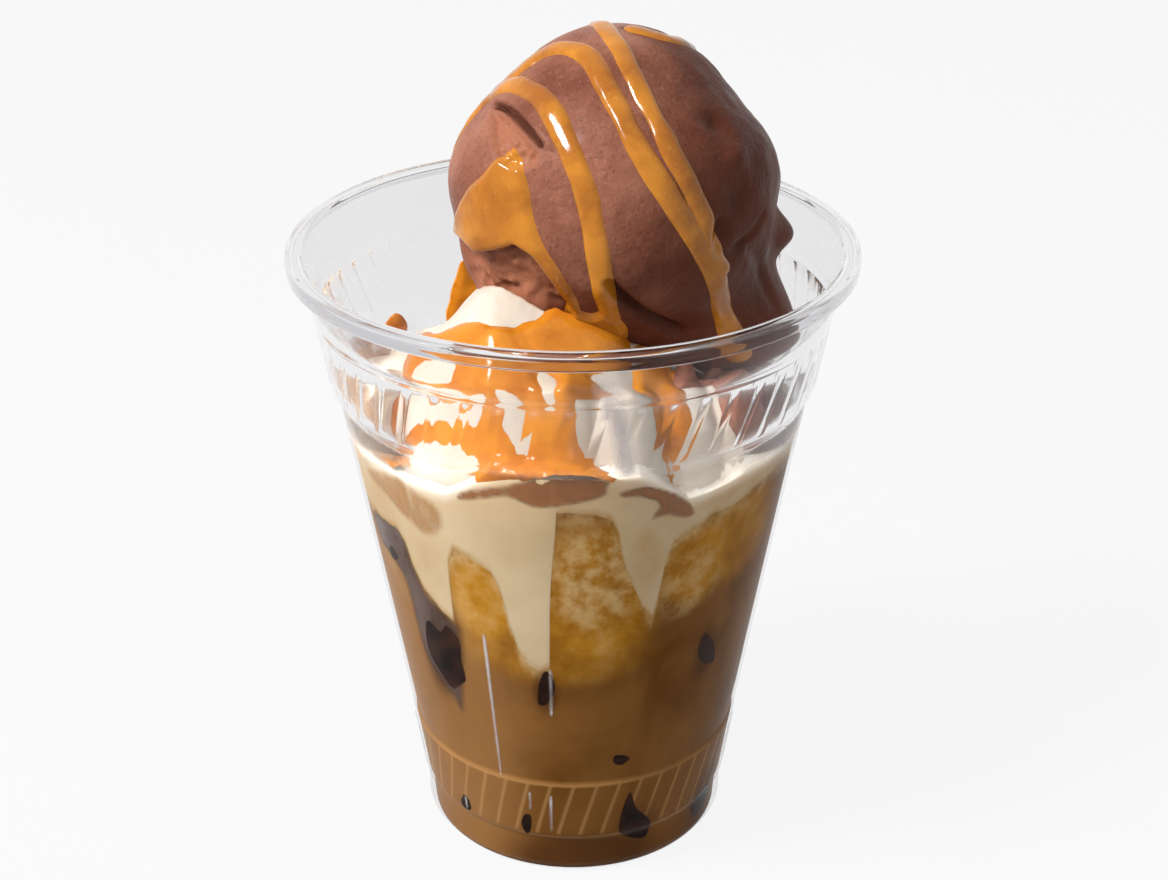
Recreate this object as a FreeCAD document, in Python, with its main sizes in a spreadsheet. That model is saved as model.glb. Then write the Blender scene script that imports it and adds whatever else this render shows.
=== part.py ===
# An affogato in a clear moulded cup: coffee with a layer of melted cream on it,
# a mound of vanilla ice cream in the cream, and a scoop of chocolate ice cream
# on the mound.  Millimetres.  +Z is up, the origin is on the floor under the
# middle of the cup, -Y is the front and +X the right.

import FreeCAD, Part
import Sketcher
import math
import os

from FreeCAD import Vector

doc = FreeCAD.newDocument("Affogato")

# ---------------------------------------------------------------- sizes

SIZES = [
    # the cup
    ("cup_height", 110.0, "overall height of the cup"),
    ("rim_radius", 47.5, "outer radius of the rolled rim"),
    ("rim_width", 3.0, "radial width of the rolled rim"),
    ("rim_depth", 2.6, "height of the rolled rim"),
    ("rim_skin", 0.9, "thickness of the material rolled over at the rim"),
    ("rim_round", 0.8, "rounding of the rim's outer and inner edges"),
    ("wall", 0.7, "thickness of the wall"),
    ("floor", 0.9, "thickness of the base"),
    ("neck_height", 8.0, "plain wall between the rim and the upper band"),
    ("neck_flare", 1.7, "radius gained up the neck"),
    ("band_relief", 0.3, "small step that edges each ribbed band"),
    ("upper_band_height", 12.0, "height of the upper ribbed band"),
    ("upper_band_draft", 2.0, "radius gained up the upper band"),
    ("shoulder_height", 1.5, "height of the shoulder under the upper band"),
    ("shoulder_step", 1.1, "radius lost at the shoulder"),
    ("lower_band_height", 12.4, "height of the lower ribbed band"),
    ("lower_band_draft", 1.9, "radius gained up the lower band"),
    ("foot_radius", 26.6, "outer radius of the foot"),
    ("foot_height", 7.8, "height of the foot under the lower band"),
    ("foot_draft", 0.5, "radius gained up the foot"),
    ("foot_step", 0.6, "step from the foot out to the lower band"),
    ("foot_round", 2.4, "outer rounding where the foot meets the ground"),
    ("foot_ring_width", 5.2, "width of the ring that the cup stands on"),
    ("base_rise", 2.2, "height of the raised middle of the base"),
    ("base_draft", 0.8, "radius lost up the inside of the foot ring"),
    ("upper_rib_count", 50, "slanted ribs round the upper band"),
    ("upper_rib_width", 1.3, "width of an upper rib"),
    ("upper_rib_length", 10.6, "height of an upper rib"),
    ("upper_rib_shift", 3.4, "sideways lean of an upper rib over its height"),
    ("lower_rib_count", 45, "slanted ribs round the lower band"),
    ("lower_rib_width", 0.8, "width of a lower rib"),
    ("lower_rib_length", 11.0, "height of a lower rib"),
    ("lower_rib_shift", 2.9, "sideways lean of a lower rib over its height"),
    ("rib_proud", 0.3, "height of a rib above its band"),
    ("rib_root", 0.35, "depth of a rib's root in the wall"),
    # the coffee and the cream on it
    ("headspace", 30.0, "rim to the surface of the cream at the wall"),
    ("cream_depth", 5.0, "depth of the cream layer away from its tongues"),
    ("cream_ripple", 0.8, "unevenness of the underside of the cream"),
    ("surface_ripple", 0.5, "unevenness of the surface of the cream"),
    ("front_rise", 6.5, "height that the cream climbs the front wall"),
    ("back_rise", 5.0, "height that the cream climbs the wall at the back left"),
    ("rise_reach", 12.0, "how far in from the wall the cream rises to it"),
    ("tongue_reach", 14.0, "how far in from the wall a tongue of cream goes"),
    # the mound of vanilla ice cream
    ("mound_offset_x", -10.0, "peak of the mound, left of the axis"),
    ("mound_offset_y", -17.0, "peak of the mound, in front of the axis"),
    ("mound_height", 30.0, "peak of the mound above the cream"),
    ("mound_left", 20.6, "reach of the mound to the left of its peak"),
    ("mound_right", 38.0, "reach of the mound to the right of its peak"),
    ("mound_front", 22.0, "reach of the mound in front of its peak"),
    ("mound_back", 38.0, "reach of the mound behind its peak"),
    ("mound_fullness", 1.1, "power of the mound's outline; less is fuller"),
    ("mound_folds", 1.2, "depth of the soft folds down the mound"),
    ("mound_root", 2.0, "how far the mound goes down into the cream"),
    ("seat_gap", 0.3, "clearance between the scoop and its seat in the mound"),
    # the scoop of chocolate ice cream
    ("scoop_radius", 26.6, "radius of the scoop"),
    ("scoop_girth", 0.6, "how much wider the scoop is round its middle"),
    ("scoop_offset_x", 6.9, "middle of the scoop, right of the axis"),
    ("scoop_offset_y", 0.0, "middle of the scoop, behind the axis"),
    ("scoop_above_cream", 38.4, "middle of the scoop above the cream"),
    ("scoop_cut", 24.5, "middle of the scoop to its cut underside"),
    ("scoop_tilt", 12.0, "degrees that the underside drops to the right"),
    ("scoop_round", 3.0, "rounding between the ball and its underside"),
    # each lump on the scoop: its height, where it is and half its width and height
    # in degrees; the hollow is under the lip at the front left
    ("skirt_rise", 14.8, "how far the skirt stands out of the ball"),
    ("skirt_azimuth", -6.0, "direction of the skirt from +X, degrees"),
    ("skirt_dip", 44.0, "direction of the skirt below level, degrees"),
    ("skirt_width", 26.0, "half the angle across the skirt"),
    ("skirt_depth", 14.5, "half the angle down the skirt"),
    ("curl_rise", 3.4, "height of the small curl above the skirt"),
    ("curl_azimuth", 4.0, "direction of the curl from +X, degrees"),
    ("curl_dip", 13.0, "direction of the curl below level, degrees"),
    ("curl_width", 11.0, "half the angle across the curl"),
    ("curl_depth", 6.0, "half the angle down the curl"),
    ("hollow_rise", -1.8, "how far the hollow goes in, as a rise"),
    ("hollow_azimuth", -134.0, "direction of the hollow from +X, degrees"),
    ("hollow_dip", 15.0, "direction of the hollow below level, degrees"),
    ("hollow_width", 20.0, "half the angle across the hollow"),
    ("hollow_depth", 8.0, "half the angle down the hollow"),
    ("dimple_rise", -0.8, "how far the dimple goes in, as a rise"),
    ("dimple_azimuth", -43.0, "direction of the dimple from +X, degrees"),
    ("dimple_dip", -38.0, "direction of the dimple below level, degrees"),
    ("dimple_width", 7.0, "half the angle across the dimple"),
    ("dimple_depth", 6.0, "half the angle down the dimple"),
    ("scoop_lumps", 0.45, "unevenness of the ball"),
    ("scoop_wall_gap", 1.5, "least room between the scoop and the wall"),
]

sheet = doc.addObject("Spreadsheet::Sheet", "Sizes")
for row, (alias, value, note) in enumerate(SIZES, start=1):
    sheet.set(f"A{row}", alias.replace("_", " "))
    sheet.set(f"B{row}", str(value))
    sheet.setAlias(f"B{row}", alias)
    sheet.set(f"C{row}", note)
doc.recompute()


VALUES = {alias: float(sheet.get(alias)) for alias, _, _ in SIZES}


def size(alias):
    """The number in the sheet under this alias."""
    return VALUES[alias]


class Span:
    """A sum of named sizes, as a number and as an expression on the sheet."""

    def __init__(self, *terms, scale=1.0):
        self.value = 0.0
        words = []
        for term in terms:
            sign, alias = (-1, term[1:]) if term.startswith("-") else (1, term)
            self.value += sign * size(alias)
            words.append(("- " if sign < 0 else "+ ") + "Sizes." + alias)
        self.value *= scale
        self.text = "(" + " ".join(words or ["0"]) + f") * {scale}"


# ---------------------------------------------------------------- sketching


def origin_feature(body, role):
    """One of a body's own origin planes or axes."""
    return next(f for f in body.Origin.OriginFeatures if f.Role == role)


def new_sketch(body, name, role="XZ_Plane"):
    """A sketch on one of the body's origin planes."""
    sketch = body.newObject("Sketcher::SketchObject", name)
    sketch.AttachmentSupport = [(origin_feature(body, role), "")]
    sketch.MapMode = "FlatFace"
    return sketch


def draw_outline(sketch, corners):
    """A closed outline of straight lines whose every corner is dimensioned."""
    places = [Vector(x.value, y.value, 0) for x, y in corners]
    for i, start in enumerate(places):
        end = places[(i + 1) % len(places)]
        sketch.addGeometry(Part.LineSegment(start, end), False)
    for i in range(len(places)):
        following = (i + 1) % len(places)
        sketch.addConstraint(Sketcher.Constraint("Coincident", i, 2, following, 1))
    for i, (x, y) in enumerate(corners):
        for kind, span in (("DistanceX", x), ("DistanceY", y)):
            index = sketch.addConstraint(
                Sketcher.Constraint(kind, -1, 1, i, 1, span.value)
            )
            sketch.setExpression(f"Constraints[{index}]", span.text)


def revolve(body, sketch, name):
    """A full turn of a sketch about the body's upright axis."""
    turn = body.newObject("PartDesign::Revolution", name)
    turn.Profile = sketch
    turn.ReferenceAxis = (origin_feature(body, "Z_Axis"), [""])
    turn.Angle = 360.0
    return turn


# ---------------------------------------------------------------- the cup

# Heights, from the ground up or from the rim down.
BAND_TOP = ("cup_height", "-rim_depth", "-neck_height")
BAND_FOOT = BAND_TOP + ("-upper_band_height",)
SHOULDER_FOOT = BAND_FOOT + ("-shoulder_height",)
LOWER_FOOT = ("foot_height", "foot_step")
LOWER_TOP = LOWER_FOOT + ("lower_band_height",)

# Outer radii at those heights.
NECK_TOP_R = ("rim_radius", "-rim_width", "wall")
NECK_FOOT_R = NECK_TOP_R + ("-neck_flare",)
BAND_TOP_R = NECK_FOOT_R + ("-band_relief",)
BAND_FOOT_R = BAND_TOP_R + ("-upper_band_draft",)
SHOULDER_FOOT_R = BAND_FOOT_R + ("-shoulder_step",)
FOOT_TOP_R = ("foot_radius", "foot_draft")
LOWER_FOOT_R = FOOT_TOP_R + ("foot_step",)
LOWER_TOP_R = LOWER_FOOT_R + ("lower_band_draft",)
RING_INNER_R = ("foot_radius", "-foot_ring_width")
BASE_EDGE_R = RING_INNER_R + ("-base_draft",)
FLOOR_TOP = ("base_rise", "floor")

# The side of the cup from the foot to the neck: (outer radius, height).
SIDE = [
    (FOOT_TOP_R, ("foot_height",)),
    (LOWER_FOOT_R, LOWER_FOOT),
    (LOWER_TOP_R, LOWER_TOP),
    (LOWER_TOP_R + ("-band_relief",), LOWER_TOP + ("band_relief",)),
    (SHOULDER_FOOT_R, SHOULDER_FOOT),
    (BAND_FOOT_R, BAND_FOOT),
    (BAND_TOP_R, BAND_TOP),
    (NECK_FOOT_R, BAND_TOP + ("band_relief",)),
]


def inside_outline():
    """The inside of the cup from the middle of its floor to the top of its neck."""
    points = [
        ((), FLOOR_TOP),
        (BASE_EDGE_R, FLOOR_TOP),
        (RING_INNER_R, ("floor",)),
        (("foot_radius", "-wall"), ("floor",)),
    ]
    points += [(radius + ("-wall",), height) for radius, height in SIDE]
    points.append((("rim_radius", "-rim_width"), ("cup_height", "-rim_depth")))
    return points


def outside_outline():
    """The outside from the top of the neck down to the middle of the base."""
    points = [(NECK_TOP_R, ("cup_height", "-rim_depth"))]
    points += reversed(SIDE)
    points += [
        (("foot_radius",), ()),
        (RING_INNER_R + ("-floor",), ()),
        (BASE_EDGE_R + ("-floor",), ("base_rise",)),
        ((), ("base_rise",)),
    ]
    return points


def rim_outline():
    """The rim, rolled outwards and down from the inside of the neck."""
    roof = ("cup_height", "-rim_skin")
    lip = ("rim_radius", "-rim_skin")
    return [
        (("rim_radius", "-rim_width"), ("cup_height",)),
        (("rim_radius",), ("cup_height",)),
        (("rim_radius",), ("cup_height", "-rim_depth")),
        (lip, ("cup_height", "-rim_depth")),
        (lip, roof),
        (NECK_TOP_R, roof),
    ]


def spans(points):
    """Outline corners as pairs of spans."""
    return [(Span(*radius), Span(*height)) for radius, height in points]


def add_ribs(body, word, foot, foot_radius, draft, band):
    """Slanted ribs all round a band, one padded and the rest patterned."""
    height = Span(band)
    middle_radius = "(" + Span(*foot_radius).text + ") + Sizes." + draft + " / 2"
    middle_height = "(" + Span(*foot).text + ") + Sizes." + band + " / 2"
    sketch = new_sketch(body, word.capitalize() + "RibOutline")
    width = word + "_rib_width"
    length = word + "_rib_length"
    shift = word + "_rib_shift"
    top = Span(length, scale=0.5)
    bottom = Span("-" + length, scale=0.5)
    draw_outline(
        sketch,
        [
            (Span("-" + width, "-" + shift, scale=0.5), bottom),
            (Span(width, "-" + shift, scale=0.5), bottom),
            (Span(width, shift, scale=0.5), top),
            (Span("-" + width, shift, scale=0.5), top),
        ],
    )
    lean = math.degrees(math.atan2(size(draft), height.value))
    sketch.AttachmentOffset = FreeCAD.Placement(
        Vector(0, 0, 0), FreeCAD.Rotation(Vector(1, 0, 0), lean)
    )
    sketch.setExpression(
        ".AttachmentOffset.Rotation.Angle", f"atan2(Sizes.{draft}; Sizes.{band})"
    )
    sketch.setExpression(".AttachmentOffset.Base.y", middle_height)
    sketch.setExpression(".AttachmentOffset.Base.z", middle_radius + " + Sizes.rib_proud")

    rib = body.newObject("PartDesign::Pad", word.capitalize() + "Rib")
    rib.Profile = sketch
    rib.Reversed = True
    rib.setExpression("Length", "Sizes.rib_proud + Sizes.rib_root")

    ribs = body.newObject("PartDesign::PolarPattern", word.capitalize() + "Ribs")
    ribs.Originals = [rib]
    ribs.Axis = (origin_feature(body, "Z_Axis"), [""])
    ribs.Angle = 360.0
    ribs.setExpression("Occurrences", f"Sizes.{word}_rib_count")
    body.Tip = ribs


def circles_at(shape, radius, height):
    """Names of the shape's full circles of this radius at this height."""
    names = []
    for i, edge in enumerate(shape.Edges, start=1):
        curve = edge.Curve
        if not isinstance(curve, Part.Circle):
            continue
        near = abs(curve.Radius - radius) < 1e-3
        if near and abs(curve.Center.z - height) < 1e-3:
            names.append(f"Edge{i}")
    return names


def round_off(body, name, places, alias):
    """A fillet on the circles at these places."""
    base = body.Tip
    edges = []
    for radius, height in places:
        edges += circles_at(base.Shape, Span(*radius).value, Span(*height).value)
    fillet = body.newObject("PartDesign::Fillet", name)
    fillet.Base = (base, edges)
    fillet.setExpression("Radius", "Sizes." + alias)
    body.Tip = fillet
    doc.recompute()


def make_cup():
    body = doc.addObject("PartDesign::Body", "Cup")
    body.Label = "cup"
    profile = new_sketch(body, "WallOutline")
    draw_outline(profile, spans(inside_outline() + rim_outline() + outside_outline()))
    body.Tip = revolve(body, profile, "Wall")
    doc.recompute()
    round_off(body, "RimTop", [(("rim_radius",), ("cup_height",))], "rim_round")
    round_off(body, "FootCorner", [(("foot_radius",), ())], "foot_round")
    add_ribs(body, "upper", BAND_FOOT, BAND_FOOT_R, "upper_band_draft", "upper_band_height")
    doc.recompute()
    add_ribs(body, "lower", LOWER_FOOT, LOWER_FOOT_R, "lower_band_draft", "lower_band_height")
    doc.recompute()
    return body


def make_cavity():
    """All the room inside the cup up to its rim, which the contents share."""
    body = doc.addObject("PartDesign::Body", "Cavity")
    profile = new_sketch(body, "CavityOutline")
    top = [((), ("cup_height", "-rim_depth"))]
    draw_outline(profile, spans(inside_outline() + top))
    body.Tip = revolve(body, profile, "Room")
    doc.recompute()
    return body


# ---------------------------------------------------------------- soft shapes

AROUND = 72  # facets round the cup's axis in each free surface
CREAM_RINGS = (12.0, 22.0, 28.5, 32.5, 35.0, 37.0, 39.5, 42.0, 52.0)
MOUND_RINGS = (4.0, 8.0, 12.0, 16.0, 20.0, 23.5, 27.0, 30.5, 34.0, 37.0, 40.0, 52.0)


def smooth_step(x):
    """0 below 0, 1 above 1, and a soft rise between."""
    x = min(max(x, 0.0), 1.0)
    return x * x * (3.0 - 2.0 * x)


def turn_between(angle, other):
    """The smaller angle between two directions, signed, in degrees."""
    return (angle - other + 180.0) % 360.0 - 180.0


def solid_of(points, triangles):
    """A closed solid from a list of points and a list of triangles of them."""
    shell = Part.Shape()
    shell.makeShapeFromMesh((points, triangles), 0.001)
    solid = Part.Solid(shell.Shells[0])
    if solid.Volume < 0:
        solid.reverse()
    return solid


def solid_under(surface, rings, bottom=-5.0):
    """All that is under a surface z = surface(x, y), down to a flat bottom."""
    points = [Vector(0, 0, surface(0, 0))]
    for radius in rings:
        for k in range(AROUND):
            angle = 2 * math.pi * k / AROUND
            x, y = radius * math.cos(angle), radius * math.sin(angle)
            points.append(Vector(x, y, surface(x, y)))
    rim = 1 + AROUND * (len(rings) - 1)
    below = len(points)
    points += [Vector(p.x, p.y, bottom) for p in points[rim:]]
    points.append(Vector(0, 0, bottom))
    foot = len(points) - 1
    triangles = []
    for k in range(AROUND):
        n = (k + 1) % AROUND
        triangles.append((0, 1 + k, 1 + n))
        for ring in range(len(rings) - 1):
            a = 1 + AROUND * ring
            b = a + AROUND
            triangles.append((a + k, b + k, b + n))
            triangles.append((a + k, b + n, a + n))
        triangles.append((rim + k, below + k, below + n))
        triangles.append((rim + k, below + n, rim + n))
        triangles.append((foot, below + n, below + k))
    return solid_of(points, triangles)


# The tongues of cream that run down the wall into the coffee:
# (left edge, tip, right edge, in degrees from +X; length; sharpness of the tip)
TONGUES = [
    (-172.0, -126.0, -122.5, 22.5, 0.8),
    (-122.0, -99.0, -94.5, 28.5, 1.2),
    (-81.0, -68.5, -63.0, 18.5, 0.8),
    (8.0, 27.0, 40.0, 11.0, 1.0),
    (86.0, 112.0, 126.0, 17.0, 1.1),
    (150.0, 166.0, 176.0, 8.0, 1.0),
]

# Where the cream climbs the wall: (direction, half the angle, size of the rise)
RISES = [(-90.0, 32.0, "front_rise"), (140.0, 40.0, "back_rise")]


def cream_level():
    return size("cup_height") - size("headspace")


def tongue_length(angle):
    """How far the cream hangs down the wall in this direction."""
    longest = 0.0
    for left, tip, right, length, sharpness in TONGUES:
        away = turn_between(angle, tip)
        reach = tip - left if away < 0 else right - tip
        closeness = max(0.0, 1.0 - abs(away) / reach)
        longest = max(longest, length * closeness**sharpness)
    return longest


def cream_underside(x, y):
    """Where the cream ends and the coffee begins."""
    radius = math.hypot(x, y)
    angle = math.atan2(y, x)
    ripple = size("cream_ripple") * math.sin(3.0 * angle + 1.0)
    level = cream_level() - size("cream_depth") + ripple * radius / size("rim_radius")
    length = tongue_length(math.degrees(angle))
    inward = inside_radius(level - length) - radius
    return level - length * smooth_step(1.0 - inward / size("tongue_reach"))


INSIDE_SIDE = [(Span(*r).value, Span(*z).value) for r, z in inside_outline()[3:]]
NO_WALL = 1000.0  # a radius that nothing reaches, for heights above the rim


def inside_radius(height):
    """Inner radius of the cup at a height above its floor."""
    if height > size("cup_height"):
        return NO_WALL
    for (low_r, low), (high_r, high) in zip(INSIDE_SIDE, INSIDE_SIDE[1:]):
        if height <= high:
            along = max(0.0, (height - low) / (high - low))
            return low_r + (high_r - low_r) * along
    return INSIDE_SIDE[-1][0]


def cream_surface(x, y):
    """The top of the cream round the mound."""
    inward = inside_radius(cream_level()) - math.hypot(x, y)
    angle = math.degrees(math.atan2(y, x))
    near_wall = smooth_step(1.0 - inward / size("rise_reach"))
    height = cream_level()
    for middle, half_angle, rise in RISES:
        closeness = 1.0 - abs(turn_between(angle, middle)) / half_angle
        height += size(rise) * smooth_step(1.5 * closeness) * near_wall
    ripple = math.sin(0.31 * x + 0.5) * math.cos(0.27 * y)
    return height + size("surface_ripple") * ripple


# ---------------------------------------------------------------- ice cream


def scoop_middle():
    return Vector(
        size("scoop_offset_x"),
        size("scoop_offset_y"),
        cream_level() + size("scoop_above_cream"),
    )


def direction(azimuth, dip):
    """The unit vector at an azimuth from +X and a dip below level, in degrees."""
    a, d = math.radians(azimuth), math.radians(dip)
    return Vector(math.cos(a) * math.cos(d), math.sin(a) * math.cos(d), -math.sin(d))


def lump(towards, word):
    """What one of the named lumps adds to the ball in a direction."""
    azimuth = math.degrees(math.atan2(towards.y, towards.x))
    dip = math.degrees(math.asin(max(-1.0, min(1.0, -towards.z))))
    across = turn_between(azimuth, size(word + "_azimuth")) * math.cos(math.radians(dip))
    down = dip - size(word + "_dip")
    away = (across / size(word + "_width")) ** 2 + (down / size(word + "_depth")) ** 2
    return size(word + "_rise") * math.exp(-away)


def scoop_reach(towards):
    """Distance from the middle of the scoop to its surface in one direction."""
    lumps = (
        math.sin(5.0 * towards.x + 2.0 * towards.z)
        + math.sin(4.0 * towards.y - 3.0 * towards.x + 1.3)
        + 0.6 * math.sin(9.0 * towards.z + 4.0 * towards.y)
    )
    reach = size("scoop_radius") + size("scoop_lumps") * lumps
    reach += size("scoop_girth") * (1.0 - towards.z**2)
    tilt = math.radians(size("scoop_tilt"))
    down = -(towards.x * math.sin(tilt) + towards.z * math.cos(tilt))
    if down > 1e-6:
        cut = size("scoop_cut") / down
        soft = size("scoop_round")
        gap = max(soft - abs(reach - cut), 0.0) / soft
        reach = min(reach, cut) - gap * gap * soft / 4.0
    for word in ("skirt", "curl", "hollow", "dimple"):
        reach += lump(towards, word)
    return min(reach, room_for_scoop(towards, reach))


def room_for_scoop(towards, reach):
    """How far the scoop may go in one direction before it is too near the wall."""
    middle = scoop_middle()
    low, high = 0.0, reach
    for _ in range(14):
        tried = (low + high) / 2
        place = middle + towards * tried
        room = inside_radius(place.z) - size("scoop_wall_gap")
        if math.hypot(place.x, place.y) < room:
            low = tried
        else:
            high = tried
    return reach if low > 0.999 * reach else low


def mound_surface(x, y):
    """The vanilla mound, which falls away from its peak on every side."""
    dx, dy = x - size("mound_offset_x"), y - size("mound_offset_y")
    across = size("mound_left") if dx < 0 else size("mound_right")
    along = size("mound_front") if dy < 0 else size("mound_back")
    spread = math.hypot(dx / across, dy / along)
    root = cream_level() - size("mound_root")
    if spread >= 1.0:
        return root
    rise = (size("mound_height") + size("mound_root")) * (1.0 - spread**2) ** size(
        "mound_fullness"
    )
    folds = math.sin(5.0 * math.atan2(dy, dx) + 6.0 * spread)
    return root + rise + size("mound_folds") * folds * spread * (1.0 - spread)


def make_scoop(grown=0.0):
    """The scoop as rings of facets about an upright line through its middle."""
    middle = scoop_middle()
    rings, sides = 30, 60

    def place(towards):
        return middle + towards * (scoop_reach(towards) + grown)

    points = [place(Vector(0, 0, 1))]
    for i in range(1, rings):
        dip = 180.0 * i / rings - 90.0
        for k in range(sides):
            points.append(place(direction(360.0 * k / sides, dip)))
    points.append(place(Vector(0, 0, -1)))
    last = len(points) - 1
    triangles = []
    for k in range(sides):
        n = (k + 1) % sides
        triangles.append((0, 1 + k, 1 + n))
        for i in range(rings - 2):
            a = 1 + sides * i
            b = a + sides
            triangles.append((a + k, b + k, b + n))
            triangles.append((a + k, b + n, a + n))
        triangles.append((last, last - sides + n, last - sides + k))
    return solid_of(points, triangles)


def add_solid(name, shape):
    """A solid of its own in the document."""
    feature = doc.addObject("Part::Feature", name)
    feature.Shape = shape
    return feature


def boolean(kind, name, base, tool, label=None):
    """Part::Cut or Part::Common of two objects."""
    feature = doc.addObject(kind, name)
    feature.Base = base
    feature.Tool = tool
    if label:
        feature.Label = label
    doc.recompute()
    return feature


def make_contents():
    cavity = make_cavity()
    scoop = add_solid("Scoop", make_scoop())
    scoop.Label = "chocolate_scoop"
    coffee_block = add_solid("CoffeeBlock", solid_under(cream_underside, CREAM_RINGS))
    cream_block = add_solid("CreamBlock", solid_under(cream_surface, CREAM_RINGS))
    mound_block = add_solid("MoundBlock", solid_under(mound_surface, MOUND_RINGS))
    seat = add_solid("Seat", make_scoop(grown=size("seat_gap")))
    coffee = boolean("Part::Common", "Coffee", cavity, coffee_block, "coffee")
    filled = boolean("Part::Common", "FilledRoom", cavity, cream_block)
    cream = boolean("Part::Cut", "Cream", filled, coffee_block, "cream_layer")
    heaped = boolean("Part::Common", "HeapedRoom", cavity, mound_block)
    uncovered = boolean("Part::Cut", "Uncovered", heaped, cream_block)
    mound = boolean("Part::Cut", "Mound", uncovered, seat, "vanilla_mound")
    return [coffee, cream, mound, scoop]


# ---------------------------------------------------------------- build


def check(parts):
    """Stop if any object failed or any sub-part's shape is not sound."""
    for item in doc.Objects:
        if "Invalid" in item.State or "Error" in item.State:
            raise RuntimeError(f"{item.Name} failed: {item.State}")
    for part in parts:
        shape = part.Shape
        if shape.isNull() or not shape.isValid():
            raise RuntimeError(f"{part.Label} has no sound shape")
        if len(shape.Solids) != 1:
            raise RuntimeError(f"{part.Label} has {len(shape.Solids)} solids")


def main():
    parts = [make_cup()] + make_contents()
    doc.recompute()
    check(parts)
    os.makedirs("parts", exist_ok=True)
    for part in parts:
        part.Shape.exportStep(os.path.join("parts", part.Label + ".step"))
        box = part.Shape.BoundBox
        print(
            f"{part.Label}: {part.Shape.Volume / 1000:.2f} cm3, faces {len(part.Shape.Faces)}, "
            f"x {box.XMin:.1f}..{box.XMax:.1f} y {box.YMin:.1f}..{box.YMax:.1f} "
            f"z {box.ZMin:.1f}..{box.ZMax:.1f}"
        )


main()
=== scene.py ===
import math

import bpy
import numpy as np
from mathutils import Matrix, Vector, noise
from mathutils.geometry import delaunay_2d_cdt


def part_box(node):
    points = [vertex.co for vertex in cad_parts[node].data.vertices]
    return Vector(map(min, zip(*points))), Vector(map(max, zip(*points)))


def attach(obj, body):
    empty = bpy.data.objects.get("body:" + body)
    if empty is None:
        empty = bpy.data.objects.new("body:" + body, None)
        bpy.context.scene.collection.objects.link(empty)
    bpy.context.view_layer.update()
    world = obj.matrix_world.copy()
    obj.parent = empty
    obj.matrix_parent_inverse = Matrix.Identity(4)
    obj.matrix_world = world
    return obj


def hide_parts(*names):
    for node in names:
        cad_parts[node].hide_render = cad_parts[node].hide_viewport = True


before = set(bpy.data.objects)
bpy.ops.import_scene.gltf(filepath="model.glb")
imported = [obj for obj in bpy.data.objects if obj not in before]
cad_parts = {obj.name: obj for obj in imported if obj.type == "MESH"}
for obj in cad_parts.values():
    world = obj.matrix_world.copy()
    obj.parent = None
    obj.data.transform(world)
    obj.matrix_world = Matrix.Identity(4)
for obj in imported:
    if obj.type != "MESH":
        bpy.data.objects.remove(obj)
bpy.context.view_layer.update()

# An affogato in a clear plastic cup. Lengths are in millimetres until a mesh
# is made. Directions round the cup are degrees from +X, so that -90 is the
# front. On the scoop, a direction is (degrees right of the front, degrees up).

MM = 0.001


def corners(node):
    """A node's lowest and highest corner, in millimetres."""
    return [np.array(corner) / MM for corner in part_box(node)]


TALL = corners("cup")[1][2]  # height of the cup
SCOOP_LOW, SCOOP_HIGH = corners("chocolate_scoop")
LEVEL = corners("vanilla_mound")[0][2] + 0.5  # the mound is rooted just under the cream's level

# How far each thing reaches into the inner face of the cup's wall.
COFFEE_IN_WALL = 0.10
CREAM_IN_WALL = 0.13
CREAM_TOP_IN_WALL = 0.16
POOL_IN_WALL = 0.08
JELLY_IN_WALL = 0.13
FILM_IN_WALL = 0.16
STREAK_IN_WALL = 0.2
ON_WALL = -0.02  # and what lies on that face, seen from inside

# The cup's outside and inside as (radius, height), from the foot to the rim.
OUTSIDE = [
    (27.1, 7.8), (27.5, 8.4), (29.4, 20.8), (29.3, 21.1), (40.1, 85.9), (41.2, 87.4), (43.2, 99.4),
    (43.5, 99.7), (45.2, 107.4), (45.2, 109.1),
]
INSIDE = [
    (25.9, 0.9), (26.4, 7.8), (27, 8.4), (28.9, 20.8), (28.6, 21.1), (39.4, 85.9), (40.5, 87.4),
    (42.5, 99.4), (42.8, 99.7), (44.5, 107.4), (44.5, 110),
]
UPPER_RIBS = {"count": 50, "low": 88.1, "high": 98.7, "width": 1.3, "shift": 3.4, "proud": 0.17}
LOWER_RIBS = {"count": 45, "low": 9.2, "high": 20.2, "width": 0.9, "shift": 2.9, "proud": 0.2}


def at_height(line, z):
    """Radius of one of the cup's lines at a height."""
    radii, heights = zip(*line)
    return np.interp(z, heights, radii)


def smooth(a, b, v):
    """0 below a, 1 above b, and a soft rise between."""
    t = np.clip((np.asarray(v, float) - a) / (b - a), 0, 1)
    return t * t * (3 - 2 * t)


def turn(angle, middle):
    """Signed difference of two directions, in degrees."""
    return (np.asarray(angle) - middle + 180) % 360 - 180


def waves(x, y, z, size, seed=0):
    """Smooth noise of about -1 to 1 at points of a grid, lumps of that size."""
    flat = [np.ravel(v) for v in np.broadcast_arrays(x, y, z)]
    out = [
        noise.noise(Vector((a / size + seed, b / size - seed, c / size + 2 * seed)))
        for a, b, c in zip(*flat)
    ]
    return np.array(out).reshape(np.broadcast(x, y, z).shape)


def bell(v):
    """1 at 0, falling softly to 0 on both sides."""
    return np.exp(-(np.asarray(v) ** 2))


def around(radius, turned, z):
    """Points at a radius, a direction in radians and a height."""
    return np.stack([radius * np.cos(turned), radius * np.sin(turned), z], -1)


# ---- materials


def srgb(r, g, b):
    """A colour given as it looks on a screen, 0 to 255."""
    out = []
    for v in (r, g, b):
        v /= 255
        out.append(v / 12.92 if v <= 0.04045 else ((v + 0.055) / 1.055) ** 2.4)
    return tuple(out)


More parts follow.
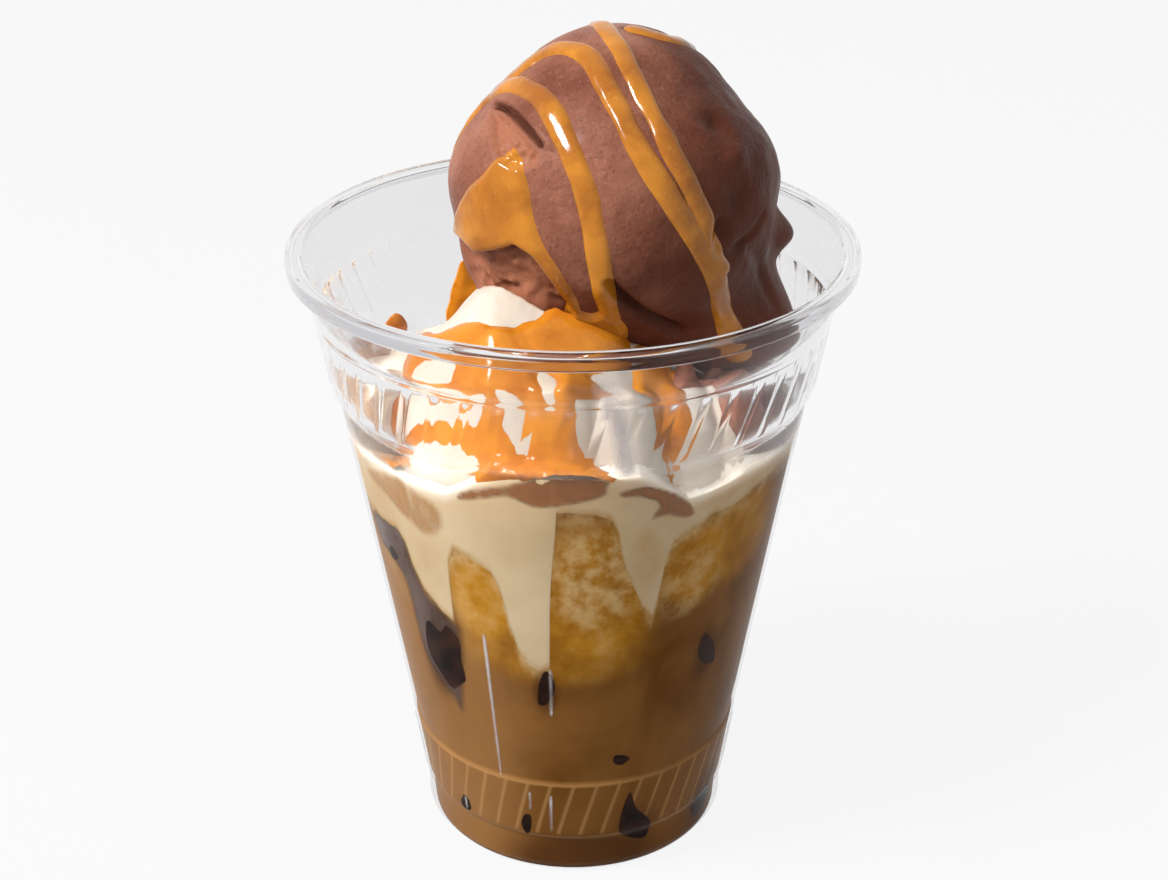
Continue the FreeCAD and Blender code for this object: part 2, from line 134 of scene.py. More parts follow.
class Look:
    """A material of one Principled shader, with short names for its nodes."""

    def __init__(self, name, **values):
        self.material = bpy.data.materials.new(name)
        self.material.use_nodes = True
        self.nodes = self.material.node_tree.nodes
        self.links = self.material.node_tree.links
        self.shader = self.nodes["Principled BSDF"]
        self.output = self.nodes["Material Output"]
        for key, value in values.items():
            self.shader.inputs[key.replace("_", " ")].default_value = value

    def node(self, kind, **settings):
        new = self.nodes.new("ShaderNode" + kind)
        for key, value in settings.items():
            if hasattr(new, key):
                setattr(new, key, value)
            else:
                new.inputs[key].default_value = value
        return new

    def wire(self, start, end):
        self.links.new(start, end)

    def texture(self, scale, detail=4, rough=0.55, stretch=None, distort=0):
        """Noise in the object's own metres; scale is lumps per metre."""
        place = self.node("TexCoord").outputs["Object"]
        if stretch:
            mapping = self.node("Mapping", Scale=stretch)
            self.wire(place, mapping.inputs["Vector"])
            place = mapping.outputs["Vector"]
        texture = self.node(
            "TexNoise", Scale=scale, Detail=detail, Roughness=rough, Distortion=distort
        )
        self.wire(place, texture.inputs["Vector"])
        return texture.outputs["Fac"]

    def attribute(self, name):
        return self.node("Attribute", attribute_name=name).outputs["Fac"]

    def ramp(self, fac, *stops):
        """A colour ramp; each stop is (place, colour or level)."""
        ramp = self.node("ValToRGB")
        elements = ramp.color_ramp.elements
        while len(elements) < len(stops):
            elements.new(0.5)
        for element, (place, colour) in zip(elements, stops):
            element.position = place
            colour = srgb(*colour) if isinstance(colour, tuple) else (colour,) * 3
            element.color = (*colour, 1)
        self.wire(fac, ramp.inputs["Fac"])
        return ramp.outputs["Color"]

    def put(self, values, sockets):
        """Sends outputs, colours and levels to sockets."""
        for value, socket in zip(values, sockets):
            if isinstance(value, bpy.types.NodeSocket):
                self.wire(value, socket)
            elif isinstance(value, tuple):
                socket.default_value = (*srgb(*value), 1)
            else:
                socket.default_value = value

    def blend(self, fac, a, b):
        """Mixes two colours; each may be a colour or an output."""
        mix = self.node("Mix", data_type="RGBA")
        self.put((fac, a, b), (mix.inputs[0], mix.inputs[6], mix.inputs[7]))
        return mix.outputs[2]

    def sum(self, kind, a, b):
        """A Math node of two levels."""
        node = self.node("Math", operation=kind)
        self.put((a, b), node.inputs)
        return node.outputs[0]

    def tint(self, base, name, *colour):
        """The base, and where the attribute of that name is 1, the colour."""
        return self.blend(self.attribute(name), base, colour)

    def colour(self, value):
        self.wire(value, self.shader.inputs["Base Color"])

    def rough(self, value):
        self.wire(value, self.shader.inputs["Roughness"])

    def bump(self, height, depth, strength):
        node = self.node("Bump", Strength=strength, Distance=depth)
        self.wire(height, node.inputs["Height"])
        self.wire(node.outputs["Normal"], self.shader.inputs["Normal"])

    def surface(self, fac, other):
        """Shows another shader instead of this one where fac is 1."""
        mix = self.node("MixShader")
        self.put((fac, self.shader.outputs[0], other.outputs[0]), mix.inputs)
        self.wire(mix.outputs[0], self.output.inputs["Surface"])

    def see_through(self, fac):
        """Lets what is behind show where fac is 0."""
        self.wire(fac, self.shader.inputs["Alpha"])


def plastic_look():
    look = Look(
        "clear_plastic", Roughness=0.04, IOR=1.42, Transmission_Weight=1,
        Base_Color=(0.85, 0.845, 0.855, 1), Specular_Tint=(0.2, 0.2, 0.2, 1),
    )
    grain = look.texture(45, 2, stretch=(1, 1, 0.12))
    look.bump(grain, 0.00012, 0.35)
    path = look.node("LightPath")
    # lamps shine straight through, and so does light that is caught in the wall
    caught = look.sum("GREATER_THAN", path.outputs["Glossy Depth"], 2.5)
    straight = look.sum("MAXIMUM", path.outputs["Is Shadow Ray"], caught)
    # where liquid touches the wall, little of it shines
    wetted = look.sum("MULTIPLY", look.attribute("wetted"), 0.92)
    through = look.node("BsdfTransparent", Color=(0.95, 0.95, 0.955, 1))
    look.surface(look.sum("MAXIMUM", straight, wetted), through)
    return look.material


def coffee_look():
    """Milky coffee, whose attributes say where it is clouded or stained, and where the ribs'
    highlights are painted.
    """
    look = Look("coffee", Roughness=0.3, IOR=1.34, Specular_IOR_Level=0.05)
    cloud = look.texture(55, 5, 0.6, stretch=(1, 1, 0.8), distort=0.6)
    fine = look.texture(260, 4, 0.65)
    base = look.ramp(cloud, (0.35, (108, 66, 18)), (0.62, (138, 92, 42)))
    low = look.sum("MULTIPLY", look.attribute("low"), 0.6)
    base = look.blend(low, base, (126, 82, 36))
    base = look.tint(base, "pale", 180, 132, 82)
    mottled = look.sum(
        "ADD", look.sum("MULTIPLY", cloud, 0.6), look.sum("MULTIPLY", fine, 0.4)
    )
    amber = look.ramp(
        mottled, (0.36, (160, 102, 16)), (0.5, (194, 134, 40)), (0.62, (212, 162, 88))
    )
    base = look.blend(look.attribute("amber"), base, amber)
    broken = look.ramp(fine, (0.42, 0.1), (0.62, 1))
    milk = look.sum("MULTIPLY", look.attribute("milk"), broken)
    base = look.blend(milk, base, (214, 178, 122))
    # painted highlight along the cup's lower ribs
    base = look.tint(base, "rib_highlight", 198, 150, 96)
    base = look.tint(base, "dark", 66, 36, 20)
    look.colour(base)
    return look.material


def cream_look(name, colour, deep, stain, shine):
    """Cream or vanilla, fresh and pale in some places and stained in others."""
    look = Look(
        name, Roughness=0.36, IOR=1.45, Specular_IOR_Level=shine, Subsurface_Weight=0.25,
        Subsurface_Radius=(0.004, 0.0025, 0.0015), Subsurface_Scale=0.5,
    )
    base = look.ramp(look.texture(70, 4), (0.3, deep), (0.65, colour))
    base = look.tint(base, "fresh", 248, 236, 218)
    fine = look.texture(150, 5, 0.65, distort=0.8)
    broken = look.ramp(fine, (0.36, 0.35), (0.55, 1))
    wet = look.sum("MULTIPLY", look.attribute("stain"), broken)
    look.colour(look.blend(wet, base, stain))
    look.bump(look.texture(900, 3), 0.00012, 0.4)
    return look.material


def chocolate_look():
    look = Look(
        "chocolate_ice_cream", Roughness=0.42, IOR=1.42, Specular_IOR_Level=0.08,
        Coat_Weight=0.03, Coat_Roughness=0.16,
    )
    cloud = look.texture(60, 5, 0.6)
    base = look.ramp(cloud, (0.34, (114, 66, 50)), (0.66, (158, 104, 84)))
    speck = look.texture(1100, 3, 0.7)
    base = look.blend(look.ramp(speck, (0.54, 0), (0.70, 0.5)), base, (84, 44, 30))
    speck = look.texture(1500, 2, 0.7)
    base = look.blend(look.ramp(speck, (0.60, 0), (0.72, 0.35)), base, (186, 134, 110))
    base = look.tint(base, "torn", 160, 102, 76)
    # painted shade: the ball's right side, and the slit, crevice, dents and lip's edge
    base = look.tint(base, "right_side_shade", 80, 36, 22)
    base = look.tint(base, "shade", 60, 28, 16)
    look.colour(base)
    grain = look.sum("ADD", look.texture(1300, 3, 0.6), look.texture(420, 3, 0.5))
    look.bump(grain, 0.0003, 0.6)
    look.rough(look.ramp(look.texture(90, 3), (0.35, 0.34), (0.65, 0.52)))
    return look.material


def caramel_look(name, colour, deep):
    look = Look(
        name, Roughness=0.16, IOR=1.47, Specular_IOR_Level=0.25, Coat_Weight=0.18,
        Coat_Roughness=0.08, Subsurface_Weight=0.15,
        Subsurface_Radius=(0.003, 0.0012, 0.0004), Subsurface_Scale=0.4,
    )
    cloud = look.texture(120, 4, 0.55, distort=0.4)
    base = look.ramp(cloud, (0.34, deep), (0.62, colour))
    speck = look.texture(1400, 2)
    base = look.blend(look.ramp(speck, (0.64, 0), (0.74, 0.25)), base, (226, 168, 84))
    look.colour(base)
    look.bump(look.texture(500, 2), 0.0001, 0.3)
    return look.material


def jelly_look():
    look = Look("coffee_jelly", Roughness=0.12, IOR=1.4, Specular_IOR_Level=0.05)
    cloud = look.texture(200, 3)
    look.colour(look.ramp(cloud, (0.35, (22, 11, 8)), (0.7, (62, 36, 24))))
    return look.material


def film_look(name, colour, low, high, scale):
    """A thin film on the wall, patchy, through which the rest shows: smears, and the painted glare
    streaks.
    """
    look = Look(name, Roughness=0.3, Base_Color=(*srgb(*colour), 1))
    cloud = look.texture(scale, 5, 0.6, stretch=(1, 1, 0.45), distort=0.5)
    patchy = look.ramp(cloud, (0.35, low), (0.62, high))
    look.see_through(look.sum("MULTIPLY", look.attribute("cover"), patchy))
    return look.material


# ---- meshes


def piece(name, points, faces, look, slot, replaced=None, masks=None):
    """A mesh from points in millimetres, riding on the one body."""
    mesh = bpy.data.meshes.new(name)
    mesh.from_pydata((np.asarray(points, float) * MM).tolist(), [], faces)
    mesh.validate()
    for key, values in (masks or {}).items():
        layer = mesh.attributes.new(key, "FLOAT", "POINT")
        layer.data.foreach_set("value", np.asarray(values, np.float32))
    mesh.polygons.foreach_set("use_smooth", [True] * len(mesh.polygons))
    mesh.materials.append(look)
    made = bpy.data.objects.new(name, mesh)
    bpy.context.scene.collection.objects.link(made)
    if replaced:
        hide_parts(replaced)
    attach(made, "root")
    return made


def tube_faces(rows, columns, first=0, flip=False):
    """Quads between rows of points that each go right round."""
    faces = []
    for i in range(rows - 1):
        a = first + i * columns
        b = a + columns
        for k in range(columns):
            n = (k + 1) % columns
            quad = (a + k, a + n, b + n, b + k)
            faces.append(quad[::-1] if flip else quad)
    return faces


def fan(middle, first, columns, flip=False):
    """Triangles from one point to a ring of points."""
    ring = [first + k for k in range(columns)]
    pairs = zip(ring, ring[1:] + ring[:1])
    return [(middle, b, a) if flip else (middle, a, b) for a, b in pairs]


def rib_lean(ribs, z):
    """How far the ribs of a band have turned at a height, in radians."""
    done = np.clip((z - ribs["low"]) / (ribs["high"] - ribs["low"]), 0, 1)
    return ribs["shift"] / at_height(OUTSIDE, ribs["high"]) * done


def make_cup(look):
    """The cup's wall as one closed outline, turned, with the ribs raised on it."""
    columns = 900  # a whole number to each rib of both bands
    low, high = LOWER_RIBS, UPPER_RIBS
    rib_edge = 0.35  # height over which a rib's end fades
    heights = [
        2.4, 3.6, 5, 6.4, 7.3, 7.8, 8.1, 8.4, 8.8,
        low["low"], low["low"] + rib_edge, *np.linspace(10.6, 18.8, 6),
        low["high"] - rib_edge, low["high"], 20.5, 20.8, 21.1, 21.8,
        *np.linspace(26, 82, 9), 85, 85.9, 86.6, 87.4, 87.7,
        high["low"], high["low"] + rib_edge, *np.linspace(89.8, 97, 6),
        high["high"] - rib_edge, high["high"], 99.1, 99.4, 99.7, 100.3,
        102.6, 105, 107.4, 108.4, 109.1,
    ]
    base_height, floor_height = 2.2, 3.1
    base = [(10, base_height), (19, base_height), (19.7, 2.1), (20.1, 0.9), (20.3, 0.2)]
    foot = [(20.5, 0), (24.2, 0), (25.1, 0.2), (25.9, 0.7), (26.4, 1.5), (26.7, 2.4)]
    outer = [(float(at_height(OUTSIDE, z)), float(z)) for z in heights]
    rim = [
        (46.4, 109), (46.7, 108.4), (46.7, 107.7), (46.85, 107.45), (47.2, 107.4),
        (47.42, 107.6), (47.5, 108), (47.5, 109.1), (47.4, 109.6), (47.15, 109.9),
        (46.7, 110), (45.6, 110), (45, 109.9), (44.65, 109.6),
    ]
    down = [
        109, 107.4, 103.5, 99.7, 99.4, 95, 91, 87.4, 86.6, 85.9, 80,
        *np.linspace(70, 26, 5), 21.1, 20.8, 15, 8.4, 7.8, 4, 1.8,
    ]
    inner = [(float(at_height(INSIDE, z)), float(z)) for z in down]
    floor = [
        (25.2, 1), (22, 0.9), (21.4, 1), (21, 2.2), (20.5, 3.05),
        (19.5, floor_height), (10, floor_height),
    ]
    line = base + foot + outer + rim + inner + floor
    ribbed = range(len(base + foot), len(base + foot + outer))
    points = [(0, 0, base_height)]
    column = np.arange(columns)
    angle = column * 2 * math.pi / columns
    for i, (r, z) in enumerate(line):
        proud = np.zeros(columns)
        lean = 0
        for ribs in (low, high):
            lean += rib_lean(ribs, z)
            if ribs["low"] < z < ribs["high"] and i in ribbed:
                pitch = columns // ribs["count"]
                step = 2 * math.pi * r / columns
                off = np.abs((column + pitch // 2) % pitch - pitch // 2) * step
                proud = ribs["proud"] * (1 - smooth(0.3, 0.7, off / ribs["width"] * 1.05))
        for a, radius in zip(angle + lean, r + proud):
            points.append((radius * math.cos(a), radius * math.sin(a), z))
    faces = fan(0, 1, columns, flip=True) + tube_faces(len(line), columns, 1)
    faces += fan(len(points), len(points) - columns, columns)
    points.append((0, 0, floor_height))
    dry = smooth(76, 84, [point[2] for point in points])  # about the surface's height
    masks = {"wetted": 1 - dry}
    return piece("clear_cup", points, faces, look, "clear_plastic", "cup", masks)


# The lower edge of the cream on the wall, as (direction, height). Between
# the tongues it stays near the surface.
CREAM_EDGE = [
    (-180, 70), (-168, 67.5), (-152, 67.5), (-143, 67.6), (-140, 66), (-138.8, 61.5), (-135.5, 57.8),
    (-130, 54.8), (-125.6, 52.9), (-125.1, 60), (-124.4, 65.4), (-122, 68.8), (-116.5, 68),
    (-111.5, 66), (-109.4, 62), (-107.6, 54.8), (-105.4, 49.8), (-103, 47.4), (-99.5, 46.5),
    (-97, 47.6), (-96.8, 53), (-96.4, 60), (-95.6, 67), (-94.6, 73.5), (-94.2, 79.6), (-87.4, 79.2),
    (-81.5, 78.2), (-79.6, 76), (-77.9, 69.9), (-75, 64.4), (-71.5, 59.3), (-68.4, 56.8), (-67.3, 61),
    (-66.4, 67), (-64.5, 71.6), (-58.8, 72.7), (-53.2, 75), (-45.2, 75.3), (-38.2, 76.6), (-27, 77.6),
    (-12, 76), (2, 75), (12, 70), (22, 65.5), (29, 65), (36, 71), (45, 75.5), (62, 76.5), (84, 75),
    (95, 67), (108, 60), (114, 59), (120, 65), (128, 73), (142, 74.5), (155, 69), (164, 67),
    (172, 69), (180, 70),
]
# Where the surface meets the wall.
SURFACE_EDGE = [
    (-180, 80.4), (-163.4, 79.9), (-153.5, 79.2), (-142.5, 80.2), (-132, 79.8), (-121.8, 80),
    (-113.1, 83.6), (-104.5, 85.3), (-94.5, 86.4), (-82.6, 86), (-74.7, 85.6), (-66.5, 81.8),
    (-61.9, 79.6), (-55.8, 79.9), (-46, 80.8), (-32.9, 81), (-15, 80.2), (20, 79.8), (60, 80.2),
    (95, 80.6), (120, 81.4), (140, 82.2), (160, 81.4), (180, 80.4),
]


# Ovals on the wall: (strength, direction, height, half turn, half height, lean)
AMBER = [
    (1, -84, 62, 19, 17), (1, -115, 60, 12, 11), (0.95, -56, 66, 13, 9.5),
    (0.6, -96, 50, 30, 7), (0.5, 70, 66, 30, 12), (0.75, -42, 68, 20, 10),
]
MILK = [(0.9, -84, 66, 14, 12), (0.5, -58, 62, 12, 8), (0.35, -146, 62, 14, 10)]
DARK = [
    (0.9, -133, 46, 9.5, 12, 0.25), (0.75, -147, 62.5, 11, 5, -0.9), (0.55, -98.5, 42, 4.5, 5.5),
    (0.5, -47, 45, 5.5, 6), (0.5, -30, 8, 12, 8), (0.4, -66, 9, 10, 6), (0.6, -86, 2, 34, 7.5),
]
PALE = [(0.45, -140, 40, 40, 60)]
CREAM_STAINS = [
    (0.35, -158, 74, 14, 8), (0.35, -72, 66, 5, 10), (0.4, -42, 78, 16, 3), (0.45, 60, 78, 50, 4),
]


def edge_height(edge, angle):
    """Height of one of the edges on the wall in a direction."""
    directions, heights = zip(*edge)
    return np.interp(turn(angle, 0), directions, heights)


def wall_blob(angle, z, middle, high, half_turn, half_high, lean=0):
    """1 in the middle of an oval on the wall, 0 outside it."""
    across = turn(angle, middle) - lean * (z - high)
    spread = np.hypot(across / half_turn, (z - high) / half_high)
    return 1 - smooth(0.55, 1.15, spread)


def strongest(angle, z, ovals):
    """The strongest of some ovals at each place on the wall."""
    return np.max([share * wall_blob(angle, z, *oval) for share, *oval in ovals], axis=0)


def make_coffee(look):
    """The coffee's face on the wall, up to just behind the cream's edge, and closed."""
    columns, rows_low, rows_high = ((760, 84, 46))
    angle = np.arange(columns) * 360 / columns
    behind_cream, under_surface = 1.5, 2
    edge = edge_height(CREAM_EDGE, angle) + behind_cream
    edge = np.minimum(edge, edge_height(SURFACE_EDGE, angle) - under_surface)
    # even rows up to below the lowest tongue, and above it up to the edge
    foot, level = 1.05, 44
    steps = np.linspace(0, 1, rows_high + 1)[1:, None]
    z = np.concatenate([
        np.broadcast_to(np.linspace(foot, level, rows_low)[:, None], (rows_low, columns)),
        level + (edge[None, :] - level) * steps,
    ])
    radius = at_height(INSIDE, z) + COFFEE_IN_WALL
    turned = np.broadcast_to(np.radians(angle), z.shape)
    points = around(radius, turned, z).reshape(-1, 3).tolist()
    degrees = np.broadcast_to(angle, z.shape)
    under = edge_height(CREAM_EDGE, degrees) - z
    # painted highlights: paler lines on the coffee where the wall of the ribbed band would catch the
    # light, along each rib and at the band's top and bottom
    band = LOWER_RIBS
    lean = np.degrees(rib_lean(band, z))
    pitch = 360 / band["count"]
    apart = np.abs((degrees - lean + pitch / 2) % pitch - pitch / 2) * math.pi / 180 * radius
    rib_highlight = (1 - smooth(0.1, 0.5, apart)) * ((z > band["low"]) & (z < band["high"]))
    for edge_z in (band["low"] - 1, band["high"] + 0.6):
        rib_highlight = np.maximum(rib_highlight, 1 - smooth(0.1, 0.6, np.abs(z - edge_z)))
    milk = np.maximum(strongest(degrees, z, MILK), 0.8 * (1 - smooth(0, 4, under)))
    masks = {
        "amber": strongest(degrees, z, AMBER), "milk": milk, "dark": strongest(degrees, z, DARK),
        "low": 1 - smooth(6, 30, z), "pale": strongest(degrees, z, PALE), "rib_highlight": 0.5 * rib_highlight,
    }
    masks = {key: np.append(values, [0, 0]) for key, values in masks.items()}
    faces = tube_faces(rows_low + rows_high, columns)
    count = len(points)
    points += [(0, 0, 3.2), (0, 0, LEVEL - 6)]
    faces += fan(count, 0, columns, flip=True) + fan(count + 1, count - columns, columns)
    return piece("coffee_fill", points, faces, look, "coffee", "coffee", masks)


# ---- what is above the level

PEAK = np.array([-10, -17])
PEAK_HEIGHT = 30
HEAP_WIDTH = (20.6, 38)  # toward the left of the peak and toward the right
HEAP_DEPTH = (22, 38)  # toward the front of it and toward the back

# Soft lobes of the melting ice cream: (x, y, how far across, height above
# the level there).
LOBES = [
    (-19, -16, 11.5, 22), (-25, -22, 9, 15), (-20, -31, 8, 12.5), (-30, -12, 8, 9), (-12, -30, 8, 15),
    (-2, -29, 8.5, 17.5), (8, -28.5, 8.5, 14.5), (16, -24, 9, 13), (24, -19, 9, 10.5),
    (17.5, -18.5, 3.2, 17), (22.5, -14, 3, 14), (-15, 8, 9, 14), (-26, 2, 8, 6), (-10, 22, 10, 6),
    (12, 22, 12, 5), (28, 8, 9, 5),
]


def cream_top(x, y, most=99):
    """Height of the cream, and of up to that much ice cream lying on it."""
    radius = np.hypot(x, y)
    angle = np.degrees(np.arctan2(y, x))
    wall = at_height(INSIDE, LEVEL)
    rise = smooth(wall - 13, wall - 0.5, radius)
    base = LEVEL + (edge_height(SURFACE_EDGE, angle) - LEVEL) * rise
    base = base + 0.5 * np.sin(0.31 * x + 0.5) * np.cos(0.27 * y)
    dx, dy = x - PEAK[0], y - PEAK[1]
    spread = np.hypot(dx / np.where(dx < 0, *HEAP_WIDTH), dy / np.where(dy < 0, *HEAP_DEPTH))
    heap = PEAK_HEIGHT * np.clip(1 - spread**2, 0, 1) ** 1.1
    lobes = np.zeros_like(heap)
    for lx, ly, half, high in LOBES:
        away = np.hypot(x - lx, y - ly) / half
        lobes = np.maximum(lobes, high * np.sqrt(np.clip(1 - away**2, 0, 1)))
    blur = 1.6  # how softly heap and lobes run into each other
    shape = np.logaddexp(heap / blur, lobes / blur) * blur - blur * math.log(2)
    shape *= 1 - 0.75 * smooth(wall - 4, wall - 0.5, radius)
    return base + np.clip(shape, 0, most)


def scoop_room(x, y):
    """Height that what lies under the scoop keeps below."""
    away = np.hypot(x - SCOOP_MIDDLE[0], y - SCOOP_MIDDLE[1])
    under = SCOOP_MIDDLE[2] - np.sqrt(np.clip(SCOOP_R**2 - away**2, 0, None))
    return np.where(away < SCOOP_R, under + 0.6, 999)


SCOOP_R = (SCOOP_HIGH[1] - SCOOP_LOW[1]) / 2  # of the CAD's scoop, kept clear below it
FROM_LEFT, FROM_TOP = 27.3, 27.6  # the scoop's middle in its box
SCOOP_MIDDLE = np.array([
    SCOOP_LOW[0] + FROM_LEFT, (SCOOP_LOW[1] + SCOOP_HIGH[1]) / 2, SCOOP_HIGH[2] - FROM_TOP,
])
BALL_R = 26.6  # of the ball before its lumps, flats and swellings
BALL_CUT = 24.5  # how far below the middle the flat cut is, square to its tilt
BALL_CUT_TILT = 12


def disc_points(rings, columns, reach):
    """Rings of (x, y) round the cup's axis, closer together toward the outside."""
    radius = reach * np.linspace(0, 1, rings + 1)[1:] ** 0.9
    angle = np.radians(np.arange(columns) * 360 / columns)
    x = radius[:, None] * np.cos(angle)[None, :]
    y = radius[:, None] * np.sin(angle)[None, :]
    return x, y


def make_cream(look):
    """The layer of cream: its face on the wall, its top and its underside."""
    columns = 720
    rows, rings = 26, 60
    angle = np.arange(columns) * 360 / columns
    x, y = around(40, np.radians(angle), 0 * angle)[:, :2].T
    low = edge_height(CREAM_EDGE, angle) + 0.5 * waves(x, y, 0, 2.2)
    high = edge_height(SURFACE_EDGE, angle)
    z = low + (high - low) * np.linspace(0, 1, rows)[:, None]
    turned = np.broadcast_to(np.radians(angle), z.shape)
    wall = around(at_height(INSIDE, z) + CREAM_IN_WALL, turned, z)
    share = np.linspace(1, 0, rings + 1)[1:-1] ** 0.9
    reach = share[:, None] * (at_height(INSIDE, high) + CREAM_TOP_IN_WALL)
    x, y = reach * np.cos(turned[0]), reach * np.sin(turned[0])
    top = np.stack([x, y, cream_top(x, y, 1)], -1)
    points = np.concatenate([wall, top]).reshape(-1, 3).tolist()
    degrees = np.broadcast_to(angle, z.shape)
    stain = strongest(degrees, z, CREAM_STAINS)
    stain = np.maximum(stain, 0.75 * (1 - smooth(0, 1.8, z - low)))
    fresh = 0.9 * (1 - smooth(0, 2.5, high - z))
    fresh = fresh * (1 - wall_blob(degrees, z, -95, 84, 20, 9))
    faces = tube_faces(rows + len(share), columns)
    faces += fan(len(points), len(points) - columns, columns)
    points.append((0, 0, LEVEL))
    over = len(points) - stain.size  # points of the top
    # the underside goes in from the lower edge on the wall to the middle
    first, depths, middle = len(points), (0, 1.2, 6, 14, 26), LEVEL - 5
    edge = at_height(INSIDE, low)
    for depth in depths:
        under = low + (middle - low) * min(depth / 14, 1) + (0.3 if depth == 1.2 else 0)
        points += around(edge - (depth or -CREAM_IN_WALL), turned[0], under).tolist()
    faces += tube_faces(len(depths), columns, first, flip=True)
    faces += fan(len(points), len(points) - columns, columns, flip=True)
    points.append((0, 0, middle))
    under = np.zeros(len(points) - first)
    masks = {
        "stain": np.concatenate([np.ravel(stain), np.zeros(over), under]),
        "fresh": np.concatenate([np.ravel(fresh), np.ones(over), under]),
    }
    return piece("cream", points, faces, look, "cream", "cream_layer", masks)


# Stains on the mound: (strength, x, y, square of the reach)
MOUND_STAINS = [(0.75, 29, -21, 38), (0.6, 12, -19, 12), (0.5, -33, -12, 60)]


def make_mound(look):
    """The vanilla ice cream that stands up out of the cream."""
    columns, rings = ((320, 140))
    reach = float(at_height(INSIDE, LEVEL)) - 0.6
    x, y = disc_points(rings, columns, reach)
    room, level = scoop_room(x, y), cream_top(x, y, 0)
    top = np.minimum(cream_top(x, y), room)
    top = top + 0.10 * waves(x, y, 0, 1.3, 6) + 0.22 * waves(x, y, 0, 3.6, 8)
    z = np.where(top - level > 0.4, top, level - 1.5)
    points = np.stack([x, y, z], -1).reshape(-1, 3).tolist()
    faces = tube_faces(rings, columns, flip=True) + fan(len(points), 0, columns)
    last = len(points) - columns
    points.append((0, 0, float(z[0].mean())))
    first = len(points)
    points += [(a, b, LEVEL - 2) for a, b, _ in points[last:last + columns]]
    for k in range(columns):
        n = (k + 1) % columns
        faces.append((last + k, first + k, first + n, last + n))
    faces.append(tuple(range(first + columns - 1, first - 1, -1)))
    stain = 0.55 * bell((top - room + 0.3) / 0.5)  # where the scoop rests on it
    for share, mx, my, reach in MOUND_STAINS:
        stain = np.maximum(stain, share * np.exp(-((x - mx) ** 2 + (y - my) ** 2) / reach))
    masks = {"stain": np.append(stain, np.zeros(len(points) - stain.size))}
    return piece(
        "vanilla_ice_cream", points, faces, look, "vanilla_ice_cream", "vanilla_mound", masks
    )


# ---- the scoop


def toward(right, up):
    """Unit vectors for directions on the scoop, in degrees."""
    r, u = np.radians(right), np.radians(up)
    return np.stack([np.sin(r) * np.cos(u), -np.cos(r) * np.cos(u), np.sin(u)], -1)


def away_from(vectors, right, up):
    """Degrees between vectors and one direction on the scoop."""
    dots = np.clip(vectors @ toward(right, up), -1, 1)
    return np.degrees(np.arccos(dots))


def curve(p, steps):
    """Points of a smooth line from the second of some points to the last but one."""
    out = []
    for a, b, c, d in zip(p, p[1:], p[2:], p[3:]):
        for t in np.arange(steps) / steps:
            out.append(0.5 * (
                2 * b + (c - a) * t + (2 * a - 5 * b + 4 * c - d) * t**2
                + (3 * b - a - 3 * c + d) * t**3
            ))
    return out


def flowing(marks):
    """A smooth open line of unit vectors through marks."""
    out = curve(np.concatenate([marks[:1], marks, marks[-1:]]), 3)
    out = np.array(out + [marks[-1]])
    return out / np.linalg.norm(out, axis=1, keepdims=True)


def outline(marks, steps=6):
    """A smooth closed line through marks."""
    p = np.array(marks, float)
    return np.array(curve(np.concatenate([p[-1:], p, p[:2]]), steps))


def to_stroke(vectors, path):
    """Degrees from each vector to a path on the scoop, and how far along it."""
    marks = flowing(toward(*np.array(path, float).T))
    best = np.full(vectors.shape[:-1], 999)
    along = np.zeros_like(best)
    for i, (a, b) in enumerate(zip(marks[:-1], marks[1:])):
        step = b - a
        t = np.clip(((vectors - a) @ step) / (step @ step), 0, 1)
        near = a + t[..., None] * step
        near = near / np.linalg.norm(near, axis=-1, keepdims=True)
        gap = np.degrees(np.linalg.norm(vectors - near, axis=-1))
        closer = gap < best
        best = np.where(closer, gap, best)
        along = np.where(closer, (i + t) / (len(marks) - 1), along)
    return best, along


def inside_outline(x, y, marks):
    """Distance inside a closed line through marks, below 0 outside it."""
    line = outline(marks, 4)
    inside = np.zeros(x.shape, bool)
    gap = np.full(x.shape, 999)
    for a, b in zip(line, np.roll(line, -1, 0)):
        step = b - a
        t = np.clip(((x - a[0]) * step[0] + (y - a[1]) * step[1]) / (step @ step), 0, 1)
        gap = np.minimum(gap, np.hypot(x - a[0] - t * step[0], y - a[1] - t * step[1]))
        crosses = (a[1] > y) != (b[1] > y)
        with np.errstate(divide="ignore", invalid="ignore"):
            cut = a[0] + (y - a[1]) / (b[1] - a[1]) * step[0]
        inside ^= crosses & (x < cut)
    return np.where(inside, gap, -gap)


def directions(v):
    """Degrees right of the front and degrees up, of unit vectors."""
    right = np.degrees(np.arctan2(v[..., 0], -v[..., 1]))
    return right, np.degrees(np.arcsin(np.clip(v[..., 2], -1, 1)))


SLIT = [(-68, 40), (-58, 41), (-47, 39), (-38, 36), (-31, 32.5)]
TORN = [(-67, 38), (-57, 39), (-46, 37), (-34, 32), (-31, 27), (-37, 23), (-47, 24), (-58, 31)]
CREVICE = [(-3, -11), (1, -17), (9, -25), (17, -31), (26, -37)]
FOLD = [(36, 6), (33, -2), (40, -6), (50, -3), (60, 2)]
FOLD_LOW = [(52, -8), (62, -16), (70, -30)]
# Where the ball is shaded by its own dents: (right, up, half width)
DENTS = [(47, 38, 4.5), (44, 11, 5), (36, 3, 4), (46, -4, 5), (60, -22, 14)]
# The lip at the front left, under which the ball is hollowed.
LIP = [
    (-78, -8), (-61, -6), (-53, -7.5), (-45, -5), (-36, -1), (-29, -4), (-25, -10), (-21, -16),
    (-17, -24),
]
